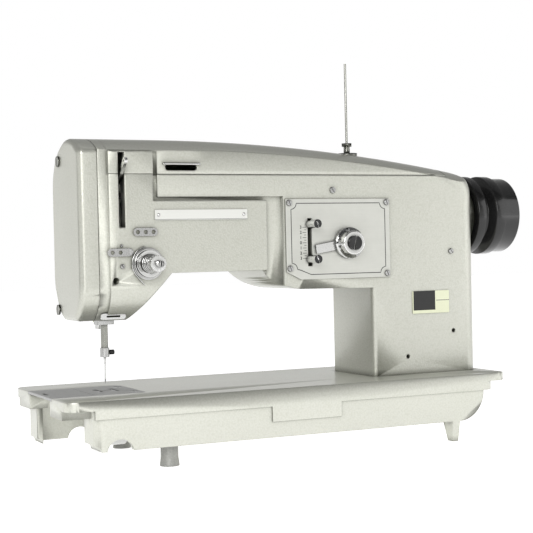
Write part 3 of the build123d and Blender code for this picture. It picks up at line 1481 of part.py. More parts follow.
# ---- hook group under the bed ----
hook_span = (70.0, 84.0)
hook_rim = 3.0
hook_recess = 8.0
case_span = (60.0, 69.6)
case_radius = 12.0
holder_height = 8.0
holder_y = (-22.0, -17.0)
hook_shaft_end = belt_x + belt_width / 2

with BuildPart() as hook_shaft:
    with BuildSketch(Plane.YZ.offset(along(hook_span[1]))):
        with Locations((0, hook_z)):
            Circle(hook_shaft_radius)
    extrude(amount=hook_shaft_end - along(hook_span[1]))
save("hook_shaft", hook_shaft)

with BuildPart() as hook_bushes:
    for x in hanger_x:
        with BuildSketch(Plane.YZ.offset(x - hanger_length / 2)):
            with Locations((0, hook_z)):
                Circle(hook_shaft_radius + bush_wall)
                Circle(hook_shaft_radius + running_fit, mode=Mode.SUBTRACT)
        extrude(amount=hanger_length)
save("hook_bushes", hook_bushes)

with BuildPart() as rotary_hook:
    with BuildSketch(Plane.YZ.offset(along(hook_span[0]))):
        with Locations((0, hook_z)):
            Circle(hook_radius)
    extrude(amount=hook_span[1] - hook_span[0])
    # cup that faces the bobbin case, open over the hook's beak
    with BuildSketch(Plane.YZ.offset(along(hook_span[0]))):
        with Locations((0, hook_z)):
            Circle(hook_radius - hook_rim)
        with Locations((-hook_radius, hook_z + hook_radius)):
            Rectangle(1.6 * hook_radius, hook_radius)
    extrude(amount=hook_recess, mode=Mode.SUBTRACT)
save("rotary_hook", rotary_hook)

with BuildPart() as bobbin_case:
    with BuildSketch(Plane.YZ.offset(along(case_span[0]))):
        with Locations((0, hook_z)):
            Circle(case_radius)
            Circle(2.4, mode=Mode.SUBTRACT)
    extrude(amount=case_span[1] - case_span[0])
    # holder that keeps the case still: past the hook and back to the shaft's hanger
    hanger_face = hanger_x[0] - hanger_length / 2
    with BuildSketch(Plane.XY.offset(hook_z - holder_height / 2)):
        with BuildLine():
            Polyline((along(case_span[0]), -case_radius + 1.5), (along(case_span[0]), holder_y[0]),
                     (hanger_face, holder_y[0]), (hanger_face, -hanger_half + 3),
                     (along(hook_span[1]) + 6, -hanger_half + 3), (along(hook_span[1]) + 6, holder_y[1]),
                     (along(case_span[0]) + 5, holder_y[1]), (along(case_span[0]) + 5, -case_radius + 1.5),
                     close=True)
        make_face()
    extrude(amount=holder_height)
save("bobbin_case", bobbin_case)

# ---- feed ----
feed_base = (57.0, 76.5)      # base plate that carries the feed rows
feed_base_y = (8.0, 20.0)
feed_base_z = above(-12.5)
feed_base_thickness = 3.5
feed_row_top = above(-0.5)
feed_bar_end = 104.0
feed_bar_height = 5.5
feed_tail = (92.0, 104.0)
feed_gap = 1.2
rocker_half = 3.0
rocker_reach = 14.0
rock_shaft_span = (90.0, 396.0)
feed_tail_y = rock_shaft_y - rocker_half - feed_gap

with BuildPart() as feed_dog:
    with BuildSketch(Plane.XY.offset(feed_base_z)):
        with Locations((along((feed_base[0] + feed_base[1]) / 2), (feed_base_y[0] + feed_base_y[1]) / 2)):
            Rectangle(feed_base[1] - feed_base[0], feed_base_y[1] - feed_base_y[0])
        for x in feed_row_x:
            with Locations((x, 0)):
                Rectangle(feed_row_width, feed_row_length)
    extrude(amount=feed_base_thickness)
    with BuildSketch(Plane.XY.offset(feed_base_z)):
        for x in feed_row_x:
            with Locations((x, 0)):
                Rectangle(feed_row_width, feed_row_length)
    extrude(amount=feed_row_top - feed_base_z)
save("feed_dog", feed_dog)

with BuildPart() as feed_bar:
    with BuildSketch(Plane.XY.offset(feed_base_z + feed_base_thickness)):
        with Locations((along((feed_base[1] + feed_bar_end) / 2), (feed_base_y[0] + 4 + feed_base_y[1]) / 2)):
            Rectangle(feed_bar_end - feed_base[1], feed_base_y[1] - feed_base_y[0] - 4)
        with Locations((along((feed_tail[0] + feed_tail[1]) / 2), (feed_base_y[1] + feed_tail_y) / 2)):
            Rectangle(feed_tail[1] - feed_tail[0], feed_tail_y - feed_base_y[1])
    extrude(amount=-feed_bar_height)
save("feed_bar", feed_bar)

with BuildPart() as feed_rock_shaft:
    with BuildSketch(Plane.YZ.offset(along(rock_shaft_span[0]))):
        with Locations((rock_shaft_y, rock_shaft_z)):
            Circle(rock_shaft_radius)
    extrude(amount=rock_shaft_span[1] - rock_shaft_span[0])
    with BuildSketch(Plane.YZ.offset(along(feed_tail[0]))):
        with Locations((rock_shaft_y, rock_shaft_z)):
            Circle(rock_shaft_radius + 3)
        with Locations((rock_shaft_y, rock_shaft_z + rocker_reach / 2)):
            Rectangle(2 * rocker_half, rocker_reach)
    extrude(amount=feed_tail[1] - feed_tail[0])
save("feed_rock_shaft", feed_rock_shaft)

# ---- zigzag rod and spool pin ----
zigzag_rod_gap = 0.5
zigzag_rod_end = 300.0
spool_flange_radius = 11.0
spool_flange_rise = 2.0
spool_stem_radius = 3.4
spool_nut_radius = 6.0
spool_nut = (243.0, 246.5)
spool_rod_radius = 1.25
spool_x = along(spool_pin_from_end)

with BuildPart() as zigzag_rod:
    with BuildSketch(Plane.YZ.offset(needle_x + lug_width / 2 + zigzag_rod_gap)):
        with Locations((zigzag_rod_y, above(zigzag_rod_height))):
            Circle(zigzag_rod_radius)
    extrude(amount=along(zigzag_rod_end) - needle_x - lug_width / 2 - zigzag_rod_gap)
save("zigzag_rod", zigzag_rod)

with BuildPart() as spool_pin:
    spool_seat = crown_z(spool_pin_from_end)
    # flange that follows the crown, then the stem, the lock nut and the rod
    with BuildSketch(Plane.XY.offset(spool_seat + spool_flange_rise)):
        with Locations((spool_x, 0)):
            Circle(spool_flange_radius)
    extrude(amount=-2 * spool_flange_rise)
    add(crown.part, mode=Mode.SUBTRACT)
    with BuildSketch(Plane.XY.offset(spool_seat + spool_flange_rise)):
        with Locations((spool_x, 0)):
            Circle(spool_stem_radius)
    extrude(amount=above(spool_nut[0]) - spool_seat - spool_flange_rise)
    with BuildSketch(Plane.XY.offset(above(spool_nut[0]))):
        with Locations((spool_x, 0)):
            RegularPolygon(spool_nut_radius, 6)
    extrude(amount=spool_nut[1] - spool_nut[0])
    with BuildSketch(Plane.XY.offset(above(spool_nut[1]))):
        with Locations((spool_x, 0)):
            Circle(spool_rod_radius)
    extrude(amount=spool_pin_top - spool_nut[1])
    # threaded end through the cover
    with BuildSketch(Plane.XY.offset(spool_seat + spool_flange_rise)):
        with Locations((spool_x, 0)):
            Circle(spool_thread_radius)
    extrude(amount=-spool_flange_rise - cover_wall - 4)
save("spool_pin", spool_pin)
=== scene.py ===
# %% [markdown]
# # A flat-bed zigzag sewing machine head
# The machine is two iron castings, the bed and the arm, painted with a pale hammered enamel, with bright
# plated controls on the front and a black handwheel on the right. The CAD model already has every part in
# its place. This file loads it as a fixed frame, then gives it finishes, softened edges, engraving, lights
# and a camera. Loading comes first.

# %% Load the frame
import json
from math import cos, pi, radians, sin
import bmesh
import bpy
from mathutils import Matrix, Vector


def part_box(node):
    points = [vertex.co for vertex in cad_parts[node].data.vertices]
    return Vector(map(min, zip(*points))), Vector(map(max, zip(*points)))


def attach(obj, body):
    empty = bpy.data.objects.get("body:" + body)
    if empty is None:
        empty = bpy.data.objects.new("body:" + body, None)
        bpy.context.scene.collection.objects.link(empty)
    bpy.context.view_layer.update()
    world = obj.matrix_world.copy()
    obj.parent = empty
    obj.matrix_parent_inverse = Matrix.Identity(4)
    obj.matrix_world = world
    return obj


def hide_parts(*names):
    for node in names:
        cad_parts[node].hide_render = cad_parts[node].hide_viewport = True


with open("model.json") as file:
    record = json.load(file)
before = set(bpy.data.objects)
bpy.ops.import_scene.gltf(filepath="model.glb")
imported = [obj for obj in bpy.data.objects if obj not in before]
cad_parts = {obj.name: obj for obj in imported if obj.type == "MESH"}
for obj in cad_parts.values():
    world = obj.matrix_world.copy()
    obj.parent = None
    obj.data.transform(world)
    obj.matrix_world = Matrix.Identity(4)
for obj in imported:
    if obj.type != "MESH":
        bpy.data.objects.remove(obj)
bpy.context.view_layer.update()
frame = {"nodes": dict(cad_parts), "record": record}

# %% [markdown]
# ## Writing shader maths as Python
# A hammered enamel is a formula: a cell pattern bends the surface and shades the colour. Node by node such
# formulas are hard to read. `Field` wraps one node output and overloads the arithmetic operators, so that
# `1 - mask * 0.4` adds the Math nodes by itself. `Finish` starts a material and adds any other node.


# %% Field and Finish
class Field:
    """A number or colour that varies over a surface: one node output that takes part in arithmetic."""

    def __init__(self, finish, socket):
        self.finish = finish
        self.socket = socket

    def math(self, operation, first, second):
        return self.finish.node("ShaderNodeMath", {"operation": operation}, {0: first, 1: second})

    def __add__(self, other):
        return self.math("ADD", self, other)

    def __sub__(self, other):
        return self.math("SUBTRACT", self, other)

    def __rsub__(self, other):
        return self.math("SUBTRACT", other, self)

    def __mul__(self, other):
        return self.math("MULTIPLY", self, other)

    def __gt__(self, other):
        return self.math("GREATER_THAN", self, other)

    def __lt__(self, other):
        return self.math("LESS_THAN", self, other)

    __radd__ = __add__
    __rmul__ = __mul__


class Finish:
    """A material in the making. Sockets that are the same all over are set straight on its shader."""

    def __init__(self, name, **same_all_over):
        self.material = bpy.data.materials.new(name)
        self.material.use_nodes = True
        self.nodes = self.material.node_tree.nodes
        self.links = self.material.node_tree.links
        self.shader = self.nodes["Principled BSDF"]
        for socket, value in same_all_over.items():
            self.shader.inputs[socket.replace("_", " ")].default_value = value

    def node(self, kind, settings, inputs, output=0):
        """Adds one node: its settings first, then the values or links of its sockets."""
        node = self.nodes.new(kind)
        for name, value in settings.items():
            if name == "stops":
                ramp = node.color_ramp
                ramp.elements[0].position, ramp.elements[0].color = value[0]
                ramp.elements[1].position, ramp.elements[1].color = value[-1]
                for place, colour in value[1:-1]:
                    ramp.elements.new(place).color = colour
            else:
                setattr(node, name, value)
        for name, value in inputs.items():
            if isinstance(value, Field):
                self.links.new(value.socket, node.inputs[name])
            else:
                node.inputs[name].default_value = value
        return Field(self, node.outputs[output])

    def place(self, stretch=(1, 1, 1)):
        """Where a point lies on the object, in metres, stretched along each axis."""
        spot = self.node("ShaderNodeTexCoord", {}, {}, "Object")
        return self.node("ShaderNodeMapping", {}, {"Vector": spot, "Scale": stretch})

    def noise(self, scale, detail=3.0, stretch=(1, 1, 1)):
        return self.node("ShaderNodeTexNoise", {},
                         {"Vector": self.place(stretch), "Scale": scale, "Detail": detail})

    def cells(self, scale):
        return self.node("ShaderNodeTexVoronoi", {"feature": "SMOOTH_F1"},
                         {"Vector": self.place(), "Scale": scale, "Smoothness": 0.6})

    def between(self, mask, low, high):
        """A colour that runs from low to high with the mask."""
        return self.node("ShaderNodeMix", {"data_type": "RGBA"}, {0: mask, 6: low, 7: high}, 2)

    def recess(self, reach):
        """1 on open surfaces, falling towards 0 in corners, seams and slots: a mask for painting shade there.
        """
        return self.node("ShaderNodeAmbientOcclusion", {"samples": 6}, {"Distance": reach}, 1)

    def bump(self, height, distance, edge=0.0003):
        """Dents the surface by a height field, over edges that are rounded to the given radius."""
        rounded = self.node("ShaderNodeBevel", {"samples": 6}, {"Radius": edge})
        return self.node("ShaderNodeBump", {}, {"Height": height, "Distance": distance, "Normal": rounded})

    def drive(self, **sockets):
        """Links varying fields to the shader."""
        for name, field in sockets.items():
            self.links.new(field.socket, self.shader.inputs[name.replace("_", " ")])
        return self.material


def grey(value, warmth=0.0):
    """A nearly neutral colour, with a little more red than blue when warmth is above 0."""
    return (value * (1 + warmth * 0.4), value * (1 + warmth * 0.5), value * (1 - warmth), 1.0)


# %% [markdown]
# ## The hammered enamel
# Hammer-finish enamel dries into small round dimples, about a millimetre and a half across, over a metallic
# base. An image texture would need unwrapping, and displaced geometry would need millions of faces. A smooth
# cell pattern through a bump gives the dimples, the same pattern shades the colour in each cell, and a slow
# noise carries the drift that oily hands leave on a machine that has been used.


# %% Hammered enamel for the castings
def hammered_enamel(name, tone, dimple, roughness, metallic=0.45):
    finish = Finish(name, Metallic=metallic, Coat_Weight=0.35, Coat_Roughness=0.16)
    dimples = finish.cells(620)
    grain = finish.noise(1500, 4.0)
    drift = finish.noise(9, 2.0)
    height = dimples * 0.8 + grain * 0.35
    paint = finish.between(dimples * 0.9 + drift * 0.35, grey(tone * 1.06, 0.06), grey(tone * 0.88, 0.085))
    # painted shade: the occlusion mask darkens the enamel towards a warm near-black in corners, seams and
    # slots, and dulls its gloss there
    painted_corner_shade = 1 - finish.recess(0.007)
    shade = finish.between(painted_corner_shade * 1.3 + (drift - 0.5) * painted_corner_shade, paint, grey(tone * 0.22, 0.16))
    return finish.drive(Base_Color=shade, Roughness=roughness + grain * 0.1 + drift * 0.08 + painted_corner_shade * 0.2,
                        Normal=finish.bump(height, dimple, 0.0024))


arm_enamel = hammered_enamel("hammered_enamel_arm", 0.50, 0.00016, 0.30, 0.72)
bed_enamel = hammered_enamel("smooth_enamel_bed", 0.56, 0.00003, 0.28, 0.45)

# %% [markdown]
# ## Bright and dark metals
# The controls are nickel and chrome plate, the bars are ground steel, and some screws and pulleys are dark.
# All of them are one idea with other numbers: fine scratches along the way the part was ground, as a noise
# stretched across its direction, changing roughness more than colour.


# %% Metals
def ground_metal(name, tone, roughness, along=(60, 60, 1), depth=0.000004, warmth=0.01, metallic=1.0):
    finish = Finish(name, Metallic=metallic)
    scratches = finish.noise(40, 5.0, along)
    stain = finish.noise(120, 3.0)
    plain = finish.between(scratches * 0.4 + stain * 0.4,
                           grey(tone * 1.08, warmth), grey(tone * 0.86, warmth))
    # painted shade: the occlusion mask darkens the metal almost to black in corners, seams and between parts
    shade = finish.between((1 - finish.recess(0.003)) * 1.25, plain, grey(tone * 0.06, 0.1))
    return finish.drive(Base_Color=shade, Roughness=roughness * 0.75 + scratches * roughness * 0.5,
                        Normal=finish.bump(scratches, depth))


def cast_metal(name, tone, roughness):
    finish = Finish(name, Metallic=0.6)
    skin = finish.noise(700, 6.0)
    oil = finish.noise(30, 2.0)
    shade = finish.between(skin * 0.7 + oil * 0.5, grey(tone * 1.3, 0.05), grey(tone * 0.6, 0.02))
    return finish.drive(Base_Color=shade, Roughness=roughness + oil * 0.2, Normal=finish.bump(skin, 0.0003))


bright_plate = ground_metal("chrome_plate", 0.62, 0.11, (30, 30, 30), 0.000004)
ground_steel = ground_metal("ground_steel", 0.42, 0.27)
polished_steel = ground_metal("polished_steel", 0.55, 0.17, (60, 60, 2))
pin_steel = ground_metal("worn_pin_steel", 0.26, 0.24, (60, 60, 2), 0.000004, 0.06)
plate_steel = ground_metal("bed_plate_steel", 0.42, 0.42, (60, 2, 60))
lathe_steel = ground_metal("turned_steel", 0.50, 0.24, (60, 2, 60))
black_steel = ground_metal("blackened_steel", 0.035, 0.35, (60, 60, 60), 0.000004, 0.0, 0.7)
dark_iron = cast_metal("oiled_iron", 0.20, 0.35)
peg_iron = cast_metal("peg_iron", 0.30, 0.42)
bearing_bronze = ground_metal("bearing_bronze", 0.42, 0.35, (10, 60, 60), 0.000004, 0.35)

# %% [markdown]
# ## Wheel enamel, belt rubber and printed plates
# The handwheel is dipped in black gloss enamel, so only faint ripples and dust change its gloss. The belt is
# dull rubber. The name strip and the column's badge carry no lettering here: the strip is a plain satin plate
# with a thin rule along its lower edge, and the badge is a dark square beside a pale panel.


# %% Gloss enamel, rubber and plates
def gloss_enamel(name, tone):
    finish = Finish(name, Coat_Weight=0.25, Coat_Roughness=0.06, Specular_IOR_Level=0.35)
    ripple = finish.noise(60, 2.0)
    dust = finish.noise(900, 5.0)
    return finish.drive(Base_Color=finish.between(dust, grey(tone), grey(tone * 1.7)),
                        Roughness=0.16 + dust * 0.14, Normal=finish.bump(ripple, 0.0002))


def belt_rubber_finish(name):
    finish = Finish(name)
    weave = finish.noise(1200, 4.0)
    return finish.drive(Base_Color=finish.between(weave, grey(0.018), grey(0.05)),
                        Roughness=0.62 + weave * 0.2, Normal=finish.bump(weave, 0.0001))


def name_strip_finish(name, low):
    """A satin plate with a dark rule just inside its lower edge."""
    finish = Finish(name, Metallic=0.35)
    spot = finish.node("ShaderNodeSeparateXYZ", {}, {"Vector": finish.place()}, "Z")
    rule = (spot > low[2] + 0.0005) * (spot < low[2] + 0.0009)
    brushed = finish.noise(30, 4.0, (1, 30, 60))
    shade = finish.between(brushed * 0.5, grey(0.66, 0.03), grey(0.52, 0.04))
    return finish.drive(Base_Color=finish.between(rule, shade, grey(0.10)), Roughness=0.28 + brushed * 0.15)


def badge_finish(name, low, high):
    """Two-tone blank badge: dark enamel square on the left, pale panel with a rule on the right."""
    finish = Finish(name, Metallic=0.1)
    place = finish.place()
    across = finish.node("ShaderNodeSeparateXYZ", {}, {"Vector": place}, "X")
    up = finish.node("ShaderNodeSeparateXYZ", {}, {"Vector": place}, "Z")
    wide, tall = high[0] - low[0], high[2] - low[2]
    square = (across < low[0] + wide * 0.615) * (up > low[2] + tall * 0.14) * (across > low[0] + wide * 0.02)
    rule = (across > low[0] + wide * 0.64) * (up > low[2] + tall * 0.55) * (up < low[2] + tall * 0.58)
    print_wear = finish.noise(700, 3.0)
    pale = finish.between(print_wear * 0.5, (0.66, 0.68, 0.50, 1), (0.55, 0.57, 0.40, 1))
    shade = finish.between(rule, pale, grey(0.12))
    return finish.drive(Base_Color=finish.between(square, shade, grey(0.010)),
                        Roughness=0.32 + print_wear * 0.1)


wheel_enamel = gloss_enamel("black_gloss_enamel", 0.006)
belt_rubber = belt_rubber_finish("belt_rubber")
name_strip = name_strip_finish("name_strip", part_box("nameplate")[0])
badge_print = badge_finish("blank_badge", *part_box("badge"))
dial_plate = ground_metal("satin_dial_plate", 0.50, 0.42, (1, 40, 60), 0.00001, 0.05, 0.45)


def plain_print(name, tone, roughness):
    """Printing ink or a dark hole: a near-black film with a little dust."""
    finish = Finish(name)
    dust = finish.noise(800, 3.0)
    return finish.drive(Base_Color=finish.between(dust, grey(tone), grey(tone * 1.8)),
                        Roughness=roughness + dust * 0.1)


engraving_ink = plain_print("engraving_ink", 0.02, 0.5)

# %% [markdown]
# ## Painting the CAD parts
# Most CAD parts already have the right shape, so they stay and get a better material: the record's material
# slot says what each is made of, and a few parts are named one by one where two finishes share a slot.

# %% Finishes on the CAD parts
by_slot = {
    "bed_paint": bed_enamel, "arm_paint": arm_enamel, "steel": ground_steel, "polished_steel": polished_steel,
    "chrome": bright_plate, "dark_iron": dark_iron, "black_oxide": black_steel, "plate_metal": dial_plate,
    "badge_plate": badge_print, "wheel_black": wheel_enamel, "belt_rubber": belt_rubber,
    "bronze": bearing_bronze,
}
by_part = {
    "nameplate": name_strip, "main_shaft": lathe_steel, "hook_shaft": lathe_steel, "bed_feet": peg_iron,
    "spool_pin": pin_steel, "width_lever": bright_plate, "cover_screws": pin_steel,
    "needle_bar": pin_steel, "slide_plate": plate_steel, "needle_plate": plate_steel,
}
for entry in frame["record"]["subparts"]:
    part = frame["nodes"][entry["node"]]
    part.data.materials.clear()
    part.data.materials.append(by_part.get(entry["node"], by_slot[entry["material_slot"]]))
print(len(frame["nodes"]), "parts painted")


# %% [markdown]
# ## Smooth copies of the CAD parts
# The CAD parts arrive as loose flat triangles, so a round wheel shows its facets in the gloss. Each part that
# shows gets a stand-in: a copy of its mesh with the doubled points merged and its faces shaded smooth up to a
# limit angle. The stand-in rides on the part's body, and the CAD part stays for the physics. Paint also
# rounds every edge; a Bevel node in each finish bends the light there, which costs no faces.


# %% Stand-ins
def body_of(part):
    return next(body for body, parts in frame["record"]["behaviour"]["bodies"].items() if part in parts)


def smooth_copy(part, angle=32):
    """A merged, smooth-shaded copy of a CAD part that takes its place."""
    source = frame["nodes"][part]
    mesh = source.data.copy()
    work = bmesh.new()
    work.from_mesh(mesh)
    bmesh.ops.remove_doubles(work, verts=work.verts, dist=0.000002)
    work.to_mesh(mesh)
    work.free()
    for face in mesh.polygons:
        face.use_smooth = True
    mesh.set_sharp_from_angle(angle=radians(angle))
    piece = bpy.data.objects.new(part + "_smooth", mesh)
    bpy.context.scene.collection.objects.link(piece)
    even = piece.modifiers.new("even_shading", "WEIGHTED_NORMAL")
    even.mode, even.weight, even.keep_sharp = "FACE_AREA", 100, True
    piece.data = bpy.data.meshes.new_from_object(piece.evaluated_get(bpy.context.evaluated_depsgraph_get()))
    piece.modifiers.clear()
    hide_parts(part)
    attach(piece, body_of(part))
    return piece


shown_parts = ["bed", "arm", "top_cover", "face_cover", "cover_screws", "slide_plate", "needle_plate",
               "needle_plate_screws", "bed_feet", "arm_bolts", "nameplate_rivets", "regulator_plate",
               "regulator_screws", "arm_screws", "width_lever", "width_knob", "width_knob_screw",
               "upper_width_stop", "lower_width_stop", "tension_stud", "tension_discs", "tension_spring",
               "tension_nut", "check_spring", "upper_thread_guide", "side_thread_guide", "head_thread_guide",
               "arm_thread_guide", "take_up_lever", "needle_bar_frame", "needle_bar", "needle_clamp",
               "needle_clamp_screw", "needle", "presser_bar", "presser_bush", "presser_lifter", "main_shaft",
               "lower_pulley", "hook_shaft", "rotary_hook", "bobbin_case", "feed_bar",
               "feed_dog", "feed_rock_shaft", "timing_belt", "spool_pin"]
stand_ins = {part: smooth_copy(part) for part in shown_parts}
print(len(stand_ins), "smooth stand-ins")


def dark_end(part, face_finish, slot_finish):
    """Gives the flat front end of a round piece one finish, and the screwdriver slot sunk in it another."""
    mesh = stand_ins[part].data
    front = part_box(part)[0][1]
    mesh.materials.append(face_finish)
    mesh.materials.append(slot_finish)
    for face in mesh.polygons:
        if face.normal.y < -0.9 and face.center.y < front + 0.003:
            face.material_index = 1 if face.center.y < front + 0.0002 else 2


for part in ("upper_width_stop", "lower_width_stop", "width_knob_screw"):
    dark_end(part, black_steel, polished_steel)

# %% [markdown]
# ## Engraving on the stitch-width plate
# The plate has a thin black border that steps round its four screws, a scale beside the slot and small
# numbers. Ink has no thickness worth modelling, but a film a few hundredths of a millimetre proud of the plate
# is simple and never flickers. The border is a strip along a path worked out from the plate's own box.

# %% Plate border
plate_low, plate_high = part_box("regulator_plate")
ink_y = plate_low[1] - 0.00004


def film(name, loops, material, body):
    """Flat closed outlines in the plane of the plate, as one ink mesh that faces the front."""
    work = bmesh.new()
    for loop in loops:
        corners = [work.verts.new((x, ink_y, z)) for x, z in loop]
        work.faces.new(corners)
    bmesh.ops.recalc_face_normals(work, faces=work.faces)
    for face in work.faces:
        if face.normal.y > 0:
            face.normal_flip()
    mesh = bpy.data.meshes.new(name)
    work.to_mesh(mesh)
    work.free()
    mesh.materials.append(material)
    piece = bpy.data.objects.new(name, mesh)
    bpy.context.scene.collection.objects.link(piece)
    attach(piece, body)
    return piece


def strip(points, width, closed=True):
    """Quads of one width along a path in the plate's plane."""
    count = len(points)
    sides = []
    for index, point in enumerate(points):
        before = Vector(points[index - 1]) if closed or index else Vector(point)
        after = Vector(points[(index + 1) % count]) if closed or index < count - 1 else Vector(point)
        run = (after - before).normalized()
        across = Vector((-run.y, run.x)) * width / 2
        sides.append((Vector(point) + across, Vector(point) - across))
    last = count if closed else count - 1
    return [(sides[i][0], sides[i][1], sides[(i + 1) % count][1], sides[(i + 1) % count][0])
            for i in range(last)]


def border_path():
    left, right = plate_low[0] + 0.0060, plate_high[0] - 0.0056
    low, high = plate_low[2] + 0.0048, plate_high[2] - 0.0044
    bite = 0.0060

    def arc(x, z, start):
        return [(x + bite * cos(radians(start + step * 10)), z + bite * sin(radians(start + step * 10)))
                for step in range(10)]
    corner = [(left + bite * cos(radians(a)), low + 0.0058 + bite * sin(radians(a)))
              for a in range(0, 91, 15)]
    return (arc(left, high, 270) + arc(right, high, 180) + arc(right, low, 90)
            + [(left + 0.0215, low), (left + 0.0105, low + 0.0044)] + corner)


film("plate_border", strip(border_path(), 0.00080), engraving_ink, "machine")

# %% [markdown]
# ## The scale beside the slot
# The ticks are one short bar repeated at an even step, with every second one longer: a job for Geometry
# Nodes. A mesh line gives the places, an index test picks the long ones, and the bars are instanced and made
# real. Sizes are named inputs on the tree, so that the same tree could mark any other scale.


# %% Tick marks with Geometry Nodes
tick_step = 0.00263


def tick_tree():
    tree = bpy.data.node_groups.new("scale_ticks", "GeometryNodeTree")
    face = tree.interface
    face.new_socket("Geometry", in_out="OUTPUT", socket_type="NodeSocketGeometry")
    for name, kind, value in (("Count", "NodeSocketInt", 13), ("Step", "NodeSocketFloat", 0.0026),
                              ("Short", "NodeSocketFloat", 0.0024), ("Long", "NodeSocketFloat", 0.0042),
                              ("Thickness", "NodeSocketFloat", 0.00045), ("Ink", "NodeSocketMaterial", None)):
        socket = face.new_socket(name, in_out="INPUT", socket_type=kind)
        if value is not None:
            socket.default_value = value
    add, link = tree.nodes.new, tree.links.new
    given, out = add("NodeGroupInput"), add("NodeGroupOutput")
    line = add("GeometryNodeMeshLine")
    link(given.outputs["Count"], line.inputs["Count"])
    upward = add("ShaderNodeCombineXYZ")
    link(given.outputs["Step"], upward.inputs["Z"])
    link(upward.outputs[0], line.inputs["Offset"])
    index, even = add("GeometryNodeInputIndex"), add("ShaderNodeMath")
    even.operation = "MODULO"
    even.inputs[1].default_value = 2
    link(index.outputs[0], even.inputs[0])
    length = add("GeometryNodeSwitch")
    length.input_type = "FLOAT"
    link(even.outputs[0], length.inputs["Switch"])
    link(given.outputs["Long"], length.inputs["False"])
    link(given.outputs["Short"], length.inputs["True"])
    size, bar = add("ShaderNodeCombineXYZ"), add("GeometryNodeMeshCube")
    link(length.outputs[0], size.inputs["X"])
    size.inputs["Y"].default_value = 1
    link(given.outputs["Thickness"], size.inputs["Z"])
    bar.inputs["Size"].default_value = (1, 0.00006, 1)
    shift, half = add("GeometryNodeTransform"), (-0.5, 0, 0)
    shift.inputs["Translation"].default_value = half
    link(bar.outputs["Mesh"], shift.inputs["Geometry"])
    copies = add("GeometryNodeInstanceOnPoints")
    real, ink = add("GeometryNodeRealizeInstances"), add("GeometryNodeSetMaterial")
    link(line.outputs["Mesh"], copies.inputs["Points"])
    link(shift.outputs["Geometry"], copies.inputs["Instance"])
    link(size.outputs[0], copies.inputs["Scale"])
    link(copies.outputs["Instances"], real.inputs["Geometry"])
    link(real.outputs["Geometry"], ink.inputs["Geometry"])
    link(given.outputs["Ink"], ink.inputs["Material"])
    link(ink.outputs["Geometry"], out.inputs["Geometry"])
    return tree


def grown(name, tree, values, place, body, outline=()):
    """Runs a tree once on a closed outline or on nothing, and rides the result, put in place, on a body."""
    source = bpy.data.meshes.new(name)
    count = len(outline)
    source.from_pydata([(x, y, 0) for x, y in outline], [(i, (i + 1) % count) for i in range(count)], [])
    holder = bpy.data.objects.new(name + "_source", source)
    bpy.context.scene.collection.objects.link(holder)
    modifier = holder.modifiers.new("grow", "NODES")
    modifier.node_group = tree
    for item in tree.interface.items_tree:
        if item.in_out == "INPUT" and item.name in values:
            modifier[item.identifier] = values[item.name]
    ready = holder.evaluated_get(bpy.context.evaluated_depsgraph_get())
    mesh = bpy.data.meshes.new_from_object(ready)
    holder.modifiers.remove(modifier)
    bpy.data.objects.remove(holder)
    mesh.transform(place)
    piece = bpy.data.objects.new(name, mesh)
    bpy.context.scene.collection.objects.link(piece)
    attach(piece, body)
    return piece


slot_x = (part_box("upper_width_stop")[0][0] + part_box("upper_width_stop")[1][0]) / 2
knob_low, knob_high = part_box("width_knob")
scale_mid = (knob_low[2] + knob_high[2]) / 2 + 0.001
grown("width_scale_ticks", tick_tree(), {"Count": 13, "Step": tick_step, "Ink": engraving_ink},
      Matrix.Translation((slot_x - 0.0040, plate_low[1] - 0.00002, scale_mid - 6 * tick_step)), "machine")

# %% [markdown]
# ## The handwheel
# The wheel is one outline turned round the shaft: a thin rim, a V groove for the motor belt, a second rim and
# a drum with a dished face. Its gloss shows every facet, so it isn't left to the coarse CAD mesh. Geometry
# Nodes turn the outline: the corners are filleted on the curve, where it is simple, and Curve to Mesh then
# sweeps the curve round a circle as wide as the bore. Other wheels need only another outline.


# %% Turned wheel with Geometry Nodes
def turning_tree():
    tree = bpy.data.node_groups.new("turned_wheel", "GeometryNodeTree")
    face = tree.interface
    face.new_socket("Geometry", in_out="OUTPUT", socket_type="NodeSocketGeometry")
    face.new_socket("Outline", in_out="INPUT", socket_type="NodeSocketGeometry")
    for name, kind, value in (("Bore", "NodeSocketFloat", 0.007), ("Segments", "NodeSocketInt", 144),
                              ("Rounding", "NodeSocketFloat", 0.0008),
                              ("Enamel", "NodeSocketMaterial", None)):
        socket = face.new_socket(name, in_out="INPUT", socket_type=kind)
        if value is not None:
            socket.default_value = value
    add, link = tree.nodes.new, tree.links.new
    given, out = add("NodeGroupInput"), add("NodeGroupOutput")
    outline, rounded = add("GeometryNodeMeshToCurve"), add("GeometryNodeFilletCurve")
    link(given.outputs["Outline"], outline.inputs["Mesh"])
    link(outline.outputs["Curve"], rounded.inputs["Curve"])
    rounded.mode = "POLY"
    rounded.inputs["Count"].default_value = 3
    rounded.inputs["Limit Radius"].default_value = True
    link(given.outputs["Rounding"], rounded.inputs["Radius"])
    circle, upright = add("GeometryNodeCurvePrimitiveCircle"), add("GeometryNodeSetCurveNormal")
    turned = add("GeometryNodeCurveToMesh")
    link(given.outputs["Segments"], circle.inputs["Resolution"])
    link(given.outputs["Bore"], circle.inputs["Radius"])
    upright.mode = "Z_UP"
    link(circle.outputs["Curve"], upright.inputs["Curve"])
    link(upright.outputs["Curve"], turned.inputs["Curve"])
    link(rounded.outputs["Curve"], turned.inputs["Profile Curve"])
    real, enamel = add("GeometryNodeRealizeInstances"), add("GeometryNodeSetMaterial")
    link(turned.outputs["Mesh"], real.inputs["Geometry"])
    link(real.outputs["Geometry"], enamel.inputs["Geometry"])
    link(given.outputs["Enamel"], enamel.inputs["Material"])
    link(enamel.outputs["Geometry"], out.inputs["Geometry"])
    return tree


